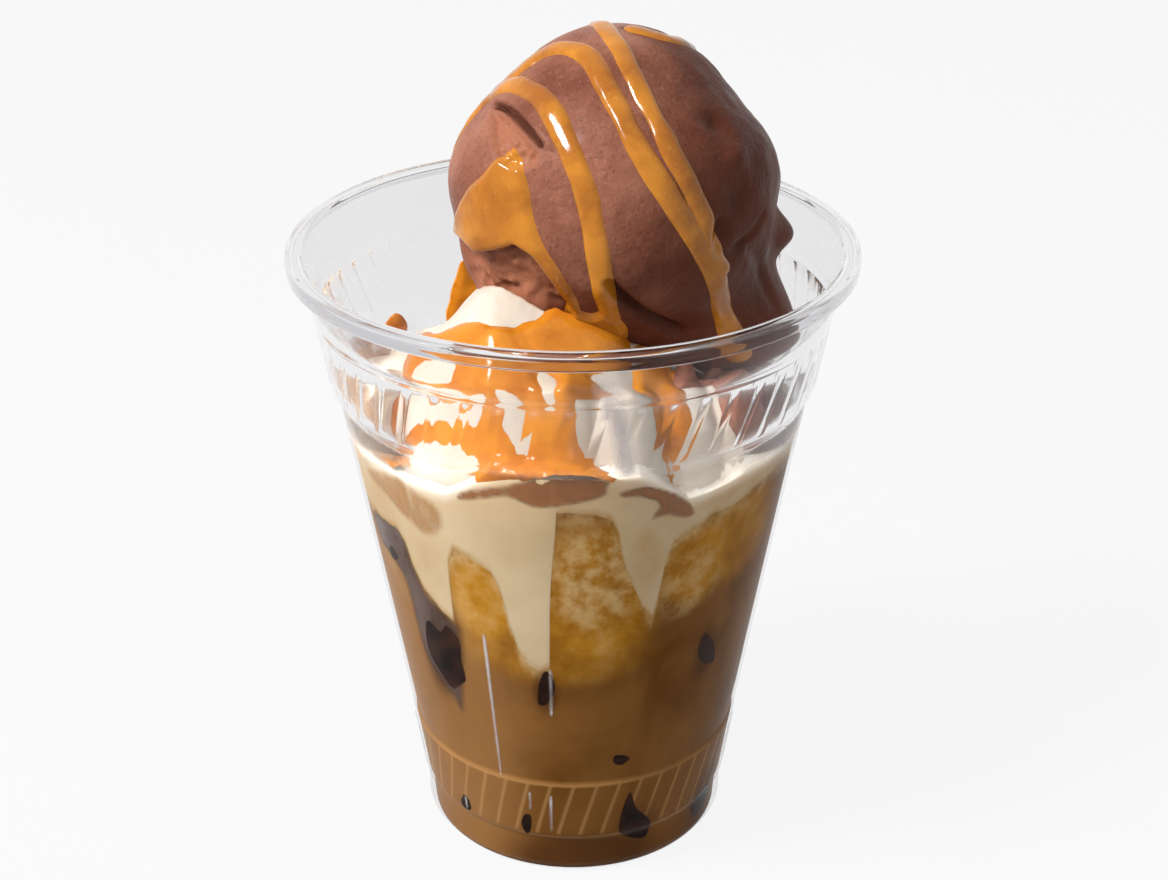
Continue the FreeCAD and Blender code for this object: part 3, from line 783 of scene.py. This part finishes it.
# Flats and swellings of the ball: (right, up, half across, half up, rise)
SWELLS = [
    (114, 39, 26, 22, -1.3), (-114, 39, 26, 22, -1.2), (-86, -9, 12, 12, -1.1), (84, 14, 20, 14, 0.5),
    (47, 38, 5, 4.5, -0.9), (49, 26, 5, 4, 0.7), (44, 12, 5.5, 5, -0.7), (36, 3, 4.5, 4, -0.7),
    (46, -4, 5.5, 4.5, -0.7), (84, -44, 26, 14.5, 14.8), (94, -15, 10, 6.5, 4.4),
    (12, 12, 6, 5, 0.35), (-8, -14, 7, 5, 0.5), (16, -20, 8, 6, 0.9), (30, -24, 7, 8, 0.5),
]


def under_lip(right, up):
    """Degrees below the lip's edge, and 1 along the lip, fading to 0 past its ends."""
    ends = smooth(-80, -66, right) * (1 - smooth(-22, -15, right))
    return np.interp(right, *zip(*LIP)) - up, ends


def scoop_radius(v):
    """Distance from the scoop's middle to its surface in each direction."""
    x, y, z = v[..., 0], v[..., 1], v[..., 2]
    right, up = directions(v)
    lumps = np.sin(5 * x + 2 * z) + np.sin(4 * y - 3 * x + 1.3)
    lumps = lumps + 0.6 * np.sin(9 * z + 4 * y)
    reach = BALL_R + 0.6 * (1 - z**2) + 0.40 * lumps
    # the flat cut below, with a rounded edge
    tilt = math.radians(BALL_CUT_TILT)
    down = -(x * math.sin(tilt) + z * math.cos(tilt))
    cut = np.where(down > 1e-6, BALL_CUT / np.maximum(down, 1e-6), 999)
    gap = np.clip(3 - np.abs(reach - cut), 0, None) / 3
    reach = np.minimum(reach, cut) - gap * gap * 0.75
    for middle, high, wide, tall, rise in SWELLS:
        across = turn(right, middle) * np.cos(np.radians(up))
        reach = reach + rise * bell(across / wide) * bell((up - high) / tall)
    reach = reach + 0.30 * waves(x, y, z, 0.30, 1) + 0.14 * waves(x, y, z, 0.11, 2)
    hurt = smooth(-0.5, 2.5, inside_outline(right, up, TORN))
    reach = reach + hurt * (0.5 * waves(x, y, z, 0.032, 5) - 0.9)
    gap, along = to_stroke(v, SLIT)
    width = 1.1 * np.sin(np.pi * np.clip(along * 0.86 + 0.1, 0, 1)) + 0.25
    reach = reach - 2.8 * bell(gap / width)
    over = up > np.interp(right, *zip(*SLIT))
    reach = reach + 0.5 * over * bell((gap - 2.6) / 1.8)
    gap, along = to_stroke(v, CREVICE)
    reach = reach - 2 * bell(gap / (1.4 + 1.8 * along))
    reach = reach - 0.6 * bell(to_stroke(v, FOLD)[0] / 1.8)
    reach = reach - 0.8 * bell(to_stroke(v, FOLD_LOW)[0] / 2.6)
    below, ends = under_lip(right, up)
    rough = 1 + 0.35 * waves(x, y, z, 0.07, 7)
    return reach - 2.3 * ends * smooth(-0.4, 1.8, below) * rough * (1 - smooth(16, 26, below))


def stay_inside(points):
    """Brings points that are too near the cup's wall back in."""
    radius = np.hypot(points[..., 0], points[..., 1])
    room = at_height(INSIDE, points[..., 2]) - 1.2  # the scoop's clearance from the wall
    over = (radius > room) & (points[..., 2] < TALL)
    share = np.where(over, room / np.maximum(radius, 1e-6), 1)
    return points * np.stack([share, share, np.ones_like(share)], -1)


def ball_grid(columns, rows):
    """Directions on the scoop in rows from the top down, without the two poles."""
    right = np.arange(columns) * 360 / columns
    up = 90 - 180 * (np.arange(1, rows)) / rows
    return np.broadcast_arrays(right[None, :], up[:, None])


def make_scoop(look):
    columns, rows = ((420, 210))
    right, up = ball_grid(columns, rows)
    v = toward(right, up)
    points = stay_inside(SCOOP_MIDDLE + v * scoop_radius(v)[..., None]).reshape(-1, 3)
    aside = turn(right, 0)
    shade = np.maximum(0.95 * bell(to_stroke(v, SLIT)[0]), 0.9 * bell(to_stroke(v, CREVICE)[0] / 2.6))
    for middle, high, half in DENTS:
        shade = np.maximum(shade, 0.5 * bell(away_from(v, middle, high) / half))
    below, ends = under_lip(aside, up)
    shade = np.maximum(shade, 0.8 * ends * bell((below - 1.2) / 1.4))
    torn = 0.9 * ends * smooth(2, 4, below) * (1 - smooth(24, 30, below))
    torn = np.maximum(torn, smooth(-1.5, 2.5, inside_outline(aside, up, TORN)))
    # painted shade: the right of the ball is made darker, standing in for the light falling off on
    # that side
    right_side_shade = 0.75 * smooth(-10, 40, aside - 0.8 * (up - 25))
    right_side_shade = right_side_shade * (1 - smooth(110, 170, aside))
    poles = np.array([[0.0, 0.0, 1.0], [0.0, 0.0, -1.0]])
    points = np.concatenate([points, SCOOP_MIDDLE + poles * scoop_radius(poles)[:, None]])
    masks = {
        "torn": np.append(torn, [0, 0]),
        "shade": np.append(shade, [0, 0.5]),
        "right_side_shade": np.append(right_side_shade, [0, 0.5]),
    }
    top, low = len(points) - 2, len(points) - 1
    faces = tube_faces(rows - 1, columns, flip=True) + fan(top, 0, columns)
    faces += fan(low, top - columns, columns, flip=True)
    return piece(
        "chocolate_ball", points, faces, look, "chocolate_ice_cream", "chocolate_scoop", masks
    )


# Strokes of caramel over the scoop: (path, half width in degrees, thickness)
DRIZZLE = [
    ([(-130, 20), (-108, 34), (-89, 46), (-81, 56), (-74, 65), (-53, 70), (-26, 68), (-9, 58),
      (1, 46), (10, 29), (17, 18), (24, 5), (32, -8), (40, -24), (52, -40)], 3.9, 0.55),
    ([(170, 50), (-170, 66), (-145, 81), (5, 73), (13, 56), (17, 44), (20, 32), (25, 20),
      (29, 10), (32, -1), (36, -10)], 3.5, 0.5),
    ([(-104, 10), (-96, 26), (-92, 37), (-75, 48), (-50, 50), (-31, 44), (-19, 32), (-12, 20),
      (-9, 9), (-6, -5), (-4.5, -16), (-3, -28)], 3.8, 0.6),
    ([(-170, 66), (-172, 54), (-170, 42), (-162, 30), (-150, 20), (-138, 12), (-130, 2),
      (-126, -10)], 3.4, 0.5),
    ([(96, 84), (88, 79), (88, 74), (97, 69), (112, 63), (128, 54), (140, 42), (147, 28),
      (150, 12), (151, -6)], 3.6, 0.55),
]
# The broad patch at the left, down to the lip, and its run to the right.
PATCH = [
    (-41, 28), (-34, 21), (-29.5, 9), (-26, 1), (-21, -7), (-16.5, -16), (-14, -28), (-20, -26),
    (-22.5, -16), (-26, -9.5), (-32, -3.5), (-38, -2.4), (-45, -6.5), (-53, -9), (-61, -8), (-74, -9),
    (-70, -2), (-63, 6), (-57, 13), (-51, 20), (-47, 27), (-44, 29.5),
]
# Where the strokes run together at the bottom, onto the ice cream below.
JOIN = [
    (-19, -22), (-15, -25), (-10, -26.5), (-6, -24), (-3, -25), (1.5, -30), (5, -38), (2, -46),
    (-22, -46), (-24, -34),
]


def drizzle_thickness(v):
    """Thickness of the caramel over the scoop, below 0 where there is none."""
    right, up = directions(v)
    best = np.full(v.shape[:-1], -1)
    wander = waves(v[..., 0], v[..., 1], v[..., 2], 0.2, 9)
    for path, half, thick in DRIZZLE:
        width = half * (1 + 0.22 * wander)
        best = np.maximum(best, thick * (1 - (to_stroke(v, path)[0] / width) ** 3))
    gap = inside_outline(right, up, PATCH) + 0.8 * wander
    patch = np.where(gap > 0, 0.75 * smooth(-1.4, 2.6, gap) - 0.18, 0.3 * gap)
    best = np.maximum(best, patch)
    gap = inside_outline(right, up, JOIN) + 0.8 * wander
    return np.clip(np.maximum(best, np.where(gap > 0, 0.25 * gap, 0.3 * gap)), -1, 0.8)


def make_drizzle(look):
    """The caramel as a skin on the scoop, sunk into it beyond the caramel's edge."""
    columns, rows = ((720, 360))
    v = toward(*ball_grid(columns, rows))
    thick = drizzle_thickness(v)
    points = stay_inside(SCOOP_MIDDLE + v * (scoop_radius(v) + np.clip(thick, -0.4, None))[..., None])
    return skin_piece("caramel_on_scoop", points, thick > -0.35, look, "caramel", wrap=True)


def skin_piece(name, points, keep, look, slot, wrap=False):
    """The kept part of a grid of points, as a surface of quads."""
    rows, columns = keep.shape
    used = np.zeros(keep.shape, bool)
    quads = []
    for i in range(rows - 1):
        for k in range(columns if wrap else columns - 1):
            n = (k + 1) % columns
            quad = ((i, k), (i + 1, k), (i + 1, n), (i, n))
            if all(keep[a] for a in quad):
                quads.append(quad)
                for a in quad:
                    used[a] = True
    number = np.cumsum(used).reshape(used.shape) - 1
    faces = [tuple(int(number[a]) for a in quad) for quad in quads]
    return piece(name, points[used], faces, look, slot)


# ---- caramel in the cup

# Caramel lying on the ice cream, as outlines of (x, y), and the windows in it
# through which the ice cream shows.
POOLS = [
    [(-24, -9), (-22.5, -16), (-17.9, -20.4), (-14.6, -23.2), (-11.5, -24.7), (-8, -23.8),
     (-5.5, -23.1), (-3, -19), (0, -15), (5, -14), (9, -18), (8.8, -21.8), (6, -25.5), (2.6, -28),
     (4.1, -28.6), (6.4, -31.2), (4.4, -31.6), (2.1, -33.4), (0.1, -34.9), (0.9, -36), (3.3, -36.4),
     (5.1, -37.4), (6.6, -40.5), (-12.5, -40.5), (-14.1, -35.2), (-16.2, -32.9), (-18.3, -31.2),
     (-20.4, -29.7), (-23.1, -27.7), (-26.2, -26.2), (-28.4, -25.4), (-29.4, -23.6), (-29, -20.5),
     (-28, -18), (-28, -12)],
    [(9.3, -21), (9.5, -27.2), (10.7, -29.3), (12.3, -29.9), (12.9, -32.8), (14.6, -32.8),
     (16.9, -31.4), (18.3, -29.1), (18.3, -26), (16.6, -22.3), (16, -17), (12, -17)],
    [(-27, 4), (-24, 13), (-17, 18), (-10, 14), (-12, 5), (-20, 0)],
    [(-13, 20), (-8, 27), (2, 29), (8, 24), (0, 19)],
    [(18, 24), (24, 26), (29, 19), (25, 14), (19, 18)],
]
WINDOWS = [
    [(-23.7, -20), (-18.6, -24.8), (-18.8, -26), (-19.8, -26.8), (-22.5, -25.2), (-25.9, -23.5),
     (-26.2, -20.7)],
    [(-25.5, -24.2), (-21.4, -26.9), (-16.6, -30.6), (-13.6, -32.7), (-15.6, -32.2), (-18.7, -30.1),
     (-21.4, -28.1), (-24.1, -26.4), (-26.4, -25), (-28.8, -23.6), (-28, -22.4)],
    [(-5.5, -29.8), (-2.7, -31), (-2.9, -34.3), (-2.7, -35.4), (-4.1, -35), (-4.9, -33.4)],
    [(-12.1, -32.6), (-10.2, -33.1), (-8.7, -34), (-7.2, -34.9), (-7.4, -36.2), (-9.7, -35.2),
     (-11.2, -34.2)],
]
# Chocolate that has melted off the scoop on the right.
MELT = [
    [(18, -10), (21.5, -15), (23, -20.5), (24.2, -24), (27, -24.8), (31, -21), (36, -8), (38, -1),
     (36, 6), (29, 12), (20, 9), (15, -2)],
]
LUMPS = [
    [(15.8, -19.5), (18.5, -15), (24, -13), (24.8, -19), (21, -22.2), (17, -24.2)],
]


def spread_over(x, y, outlines, windows, thick, edge):
    """Thickness of something poured over what is below it."""
    inside = np.full(x.shape, -99)
    for marks in outlines:
        inside = np.maximum(inside, inside_outline(x, y, marks))
    for marks in windows:
        inside = np.minimum(inside, -inside_outline(x, y, marks))
    inside = inside + 0.35 * waves(x, y, 0, 2.6, 4)
    swell = 1 + 0.35 * waves(x, y, 0, 6, 5)
    return np.where(inside > 0, thick * swell * np.sqrt(smooth(0, edge, inside)), 0.4 * inside)


def lie_on_mound(name, look, slot, outlines, windows, thick, edge):
    """Something that lies on the ice cream, and runs down the wall a little at its edge."""
    step = 0.4
    side = np.arange(-40, 40 + step, step)
    y, x = np.meshgrid(side, side, indexing="ij")
    cover = spread_over(x, y, outlines, windows, thick, edge)
    z = np.minimum(cream_top(x, y), scoop_room(x, y))
    z = z + 0.22 * waves(x, y, 0, 3.6, 8)
    z = z + np.clip(cover, -0.5, None)
    radius = np.hypot(x, y)
    drop = np.clip(radius - at_height(INSIDE, z) - POOL_IN_WALL, 0, None)
    keep = (cover > -0.5) & (drop < 1.3)
    z = z - 2 * drop
    share = (at_height(INSIDE, z) + POOL_IN_WALL) / np.maximum(radius, 1e-6)
    share = np.minimum(1, share)
    points = np.stack([x * share, y * share, z], -1)
    return skin_piece(name, points[:, ::-1], keep[:, ::-1], look, slot)


# ---- on the wall


def wall_patch(name, marks, stuff, outward, thick=0.5, grain=0.7, soft=2):
    """A patch on the cup's inner wall: marks are (direction, height), stuff (look, slot)."""
    middle, high = np.mean(marks, axis=0)
    arc = math.radians(1) * float(at_height(INSIDE, high))
    edge = outline([((turned - middle) * arc, z) for turned, z in marks])
    rough = 0.16 * waves(edge[:, 0], edge[:, 1], 0, 1.6, 1.7)
    spoke = edge - edge.mean(0)
    edge = edge + spoke / np.maximum(np.linalg.norm(spoke, axis=1), 1e-6)[:, None] * rough[:, None]
    across, up = (np.arange(a, b, grain) for a, b in zip(edge.min(0), edge.max(0)))
    verts = [Vector(p) for p in edge] + [Vector((gx, gz)) for gx in across for gz in up]
    loop = list(range(len(edge)))
    flat, _, tris, *_ = delaunay_2d_cdt(verts, [], [loop], 1, 1e-4)
    flat = np.array([tuple(p) for p in flat])
    gap = np.min(np.linalg.norm(flat[:, None] - edge[None], axis=2), axis=1)
    angle = np.radians(middle + flat[:, 0] / arc)
    base = at_height(INSIDE, flat[:, 1])
    inward = thick * (0.35 + 0.65 * smooth(0, 1.2, gap))
    outer = around(base + outward, angle, flat[:, 1])
    inner = around(base + (outward - inward), angle, flat[:, 1])
    count = len(flat)
    faces = [tuple(t) for t in tris] + [tuple(count + i for i in t[::-1]) for t in tris]
    edges = dict.fromkeys(pair for t in tris for pair in zip(t, (*t[1:], t[0])))
    points = [*outer, *inner]
    for a, b in edges:
        if (b, a) not in edges:  # the edge of the patch, closed by a quad of its own
            faces.append(tuple(range(len(points), len(points) + 4)))
            points += [outer[b], outer[a], inner[a], inner[b]]
    cover = np.tile(smooth(0, soft, gap), 2)
    cover = np.append(cover, np.zeros(len(points) - len(cover)))
    return piece(name, points, faces, *stuff, None, {"cover": cover})


def oval(middle, high, half_turn, half_high, lean=0, corners=8, uneven=0.12):
    """Marks round an uneven oval on the wall."""
    marks = []
    for i in range(corners):
        a = 2 * math.pi * i / corners
        wobble = 1 + uneven * math.sin(3 * a + middle) + uneven * math.cos(2 * a + high)
        up = half_high * math.sin(a) * wobble
        marks.append((middle + half_turn * math.cos(a) * wobble + lean * up, high + up))
    return marks


FILM = {"outward": FILM_IN_WALL, "thick": 0.12}
SMEAR = {"outward": ON_WALL, "thick": 0.12}
DROP = {"outward": ON_WALL, "thick": 0.9}
JELLY = {"outward": JELLY_IN_WALL}
STREAK = {"outward": STREAK_IN_WALL, "thick": 0.1, "grain": 0.5, "soft": 0.35}

# Jelly pieces and painted glare streaks (white lines standing in for reflections on the wall
# and on the jelly) that need no outline of their own: (direction, height, half turn, half height)
# and (lower end, upper end, direction)
JELLY_PIECES = [
    (-74.4, 25.9, 2.6, 1.2), (-107.8, 10.8, 2, 2.3), (-135, 10.3, 3, 1.6),
    (-30, 6.5, 7, 3.2), (-149, 60.8, 2.4, 1.3), (-10, 30, 4, 3.2), (28, 14, 4.5, 3),
    (66, 38, 4, 3.6), (104, 22, 4.2, 3), (148, 42, 4, 4.4), (170, 14, 3.6, 2.4), (132, 8, 5, 2.6),
]
GLARE_STREAKS = [
    (22.5, 51, -116.2), (37, 46.5, -97), (14.6, 18.6, -105.9), (9.2, 12, -134.6), (10, 18, -98.5),
]


def make_wall_things(caramel, jelly, milky_and_glare, tan_film, brown_film, dark_film):
    """What is seen through the wall; each argument is (look, slot)."""
    wall_patch("caramel_edge_front", [
        (-105.4, 84.4), (-101.6, 85.6), (-94.5, 86.6), (-82.6, 86), (-82, 84), (-83.2, 82.4),
        (-90.3, 81), (-99, 80.1), (-105, 81.6), (-111.1, 80.6), (-118, 79.4), (-117.5, 81.2),
        (-111.6, 83),
    ], brown_film, **FILM, soft=1)
    wall_patch("caramel_edge_right", [
        (-79.5, 83.4), (-73, 83.8), (-66.5, 81.8), (-61.9, 79.2), (-59.4, 76.2), (-62.2, 75.7),
        (-67.5, 76.9), (-71.8, 76.8), (-70, 79.6), (-74, 81.4), (-79, 82),
    ], brown_film, **FILM, soft=0.8)
    wall_patch("tan_patch_left", [
        (-156, 75.6), (-146, 78.6), (-137.5, 80.2), (-130, 78.8), (-123.5, 76.4), (-124.5, 71.8),
        (-130, 69.4), (-136.5, 70.7), (-146, 73.4),
    ], tan_film, **FILM)
    wall_patch("dark_streak", [
        (-161, 65.6), (-150, 68.2), (-142, 68.6), (-138.5, 66), (-138.5, 61.8), (-134, 57.1),
        (-128.5, 54.1), (-123, 52.7), (-123.5, 47.7), (-124.5, 42.7), (-125.8, 37.5), (-128.3, 31.5),
        (-132.4, 35), (-137.8, 38.3), (-142.8, 42), (-144.4, 48.3), (-145.5, 55.4), (-149.7, 59.4),
        (-157.7, 60),
    ], dark_film, outward=0.12, thick=0.1)
    wall_patch("jelly_left", [
        (-139, 48.2), (-136.5, 50.6), (-132, 49.4), (-129, 51.6), (-124.9, 49.2), (-125.4, 45),
        (-124.9, 40.8), (-128.5, 38.6), (-131.6, 37.4), (-137, 40.6), (-139.6, 43.4),
    ], jelly, outward=0.14)
    wall_patch("jelly_right", oval(-46.6, 45, 3.2, 4, -0.5), jelly, **JELLY)
    wall_patch("jelly_middle", oval(-98.4, 42.6, 2.4, 3.8, 0.1), jelly, **JELLY)
    wall_patch("jelly_low_right", [
        (-70.5, 17.9), (-67, 13.5), (-60.5, 9.5), (-62, 5.5), (-71, 7.4), (-73.5, 10.5),
    ], jelly, **JELLY)
    for i, place in enumerate(JELLY_PIECES):
        wall_patch(f"jelly_{i + 1}", oval(*place), jelly, **JELLY)
    wall_patch("caramel_drop_back", [
        (142.8, 86.6), (141.1, 84), (143.6, 82.5), (149.2, 83.5), (149, 85.8), (146.8, 86.4),
    ], caramel, **DROP)
    wall_patch("caramel_splash_back", [
        (119.9, 92), (117, 89.7), (114.6, 86.5), (114, 82.5), (118, 80.8), (126, 81), (127.1, 83.4),
        (125.3, 85.8), (122.5, 88.9),
    ], caramel, **DROP)
    wall_patch("tan_smear_back", [
        (172.5, 87.4), (162.6, 88.8), (155.2, 88.2), (151.4, 85.6), (146, 81), (160, 80), (180, 80.5),
        (188, 83), (182, 86),
    ], tan_film, **SMEAR)
    # painted glare: thin milky streaks standing in for reflections of the light
    for i, (foot, head, turned) in enumerate(GLARE_STREAKS):
        half = (foot + head) / 2
        wall_patch(f"painted_glare_streak_{i + 1}", [
            (turned - 0.7, foot), (turned + 0.5, foot), (turned + 0.8, half),
            (turned + 0.9, head), (turned - 0.4, head), (turned - 0.6, half),
        ], milky_and_glare, **STREAK)
    wall_patch("milky_smear", [
        (-87, 104), (-80, 104.5), (-78, 98), (-76.5, 92), (-75, 87), (-78.5, 85), (-81.5, 88),
        (-83, 95),
    ], milky_and_glare, **SMEAR)
    wall_patch("tan_smear_left", [
        (-163, 98), (-150, 101), (-141, 99), (-138, 92), (-134, 85), (-140, 80.5), (-152, 80.5),
        (-162, 82), (-166, 90),
    ], tan_film, **SMEAR)


# ---- stage


def background_seen(nodes, links):
    """1 for a ray that may see the white background, 0 for one that lights something matt."""
    path = nodes.new("ShaderNodeLightPath").outputs
    direct = nodes.new("ShaderNodeMath")
    direct.operation = "LESS_THAN"
    direct.inputs[1].default_value = 0.5
    links.new(path["Diffuse Depth"], direct.inputs[0])
    seen = path["Is Camera Ray"]
    for operation, other in (
        ("MAXIMUM", path["Is Transmission Ray"]),
        ("MAXIMUM", path["Is Glossy Ray"]),
        ("MULTIPLY", direct.outputs[0]),
    ):
        both = nodes.new("ShaderNodeMath")
        both.operation = operation
        links.new(seen, both.inputs[0])
        links.new(other, both.inputs[1])
        seen = both.outputs[0]
    return seen


def make_stage():
    """The floor, grey as a light and white as a view."""
    look = Look("floor", Roughness=0.9, Base_Color=(0.45, 0.45, 0.45, 1))
    seen = look.sum("MULTIPLY", background_seen(look.nodes, look.links), 0.9)
    look.surface(seen, look.node("Emission", Strength=1))
    mesh = bpy.data.meshes.new("floor")
    half = 6  # metres
    corner = [(-half, -half, 0), (half, -half, 0), (half, half, 0), (-half, half, 0)]
    mesh.from_pydata(corner, [], [(0, 1, 2, 3)])
    mesh.materials.append(look.material)
    floor = bpy.data.objects.new("floor", mesh)
    bpy.context.scene.collection.objects.link(floor)


def make_lamp(name, place, size, power, mirrored=True):
    """A square lamp of that side in metres, aimed at the cup's middle."""
    data = bpy.data.lights.new(name, "AREA")
    data.shape = "RECTANGLE"
    data.size = data.size_y = size
    data.energy = power
    lamp = bpy.data.objects.new(name, data)
    lamp.location = place
    lamp.visible_glossy = mirrored
    aim = Vector((0, 0, 0.08)) - Vector(place)
    lamp.rotation_euler = aim.to_track_quat("-Z", "Y").to_euler()
    bpy.context.scene.collection.objects.link(lamp)


def make_world():
    """A dim white surround for light, and full white as a view."""
    world = bpy.data.worlds.new("studio")
    bpy.context.scene.world = world
    world.use_nodes = True
    nodes, links = world.node_tree.nodes, world.node_tree.links
    mix = nodes.new("ShaderNodeMixShader")
    links.new(background_seen(nodes, links), mix.inputs[0])
    backgrounds = (nodes["Background"], 0.23), (nodes.new("ShaderNodeBackground"), 1)
    for (background, strength), end in zip(backgrounds, mix.inputs[1:]):
        background.inputs["Color"].default_value = (1, 1, 1, 1)
        background.inputs["Strength"].default_value = strength
        links.new(background.outputs[0], end)
    links.new(mix.outputs[0], nodes["World Output"].inputs["Surface"])


def make_camera():
    """The camera that was solved from the photo, in metres."""
    data = bpy.data.cameras.new("camera")
    data.sensor_width = 36
    data.lens = 63.9
    data.clip_start = 0.01
    camera = bpy.data.objects.new("camera", data)
    camera.location = (0, -0.3216, 0.2336)
    ahead = Vector((0.00504, 0.89453, -0.44697))
    camera.rotation_euler = ahead.to_track_quat("-Z", "Y").to_euler()
    bpy.context.scene.collection.objects.link(camera)
    bpy.context.scene.camera = camera


caramel = caramel_look("caramel", (218, 138, 36), (188, 106, 20))
dark_caramel = caramel_look("caramel_drizzle", (196, 125, 32), (158, 90, 16))
vanilla = cream_look("vanilla", (222, 211, 197), (210, 193, 171), (190, 142, 88), 0.15)
cream = cream_look("cream", (225, 201, 163), (209, 181, 139), (190, 138, 72), 0.06)
jelly = jelly_look()
make_cup(plastic_look())
make_coffee(coffee_look())
make_cream(cream)
make_mound(vanilla)
chocolate = chocolate_look()
make_scoop(chocolate)
make_drizzle(dark_caramel)
lie_on_mound("caramel_pool", caramel, "caramel", POOLS, WINDOWS, 1.1, 2)
lie_on_mound("melted_chocolate", chocolate, "chocolate_ice_cream", MELT, (), 4, 6)
lie_on_mound("chocolate_lumps", chocolate, "chocolate_ice_cream", LUMPS, (), 2.2, 2.6)
make_wall_things(
    (caramel, "caramel"),
    (jelly, "coffee_jelly"),
    (film_look("milky_film_and_glare", (236, 228, 226), 0.12, 0.7, 130), "cream"),
    (film_look("tan_film", (198, 146, 88), 0.2, 0.8, 260), "caramel"),
    (film_look("brown_film", (156, 98, 48), 0.6, 1, 160), "caramel"),
    (film_look("dark_film", (88, 58, 44), 0.45, 0.95, 160), "coffee"),
)
make_stage()
make_lamp("key", (-0.60, -0.30, 0.80), 0.26, 13)
make_lamp("fill", (0.55, -0.72, 0.12), 0.5, 1.5, mirrored=False)
make_world()
make_camera()
bpy.context.scene.view_settings.view_transform = "Standard"
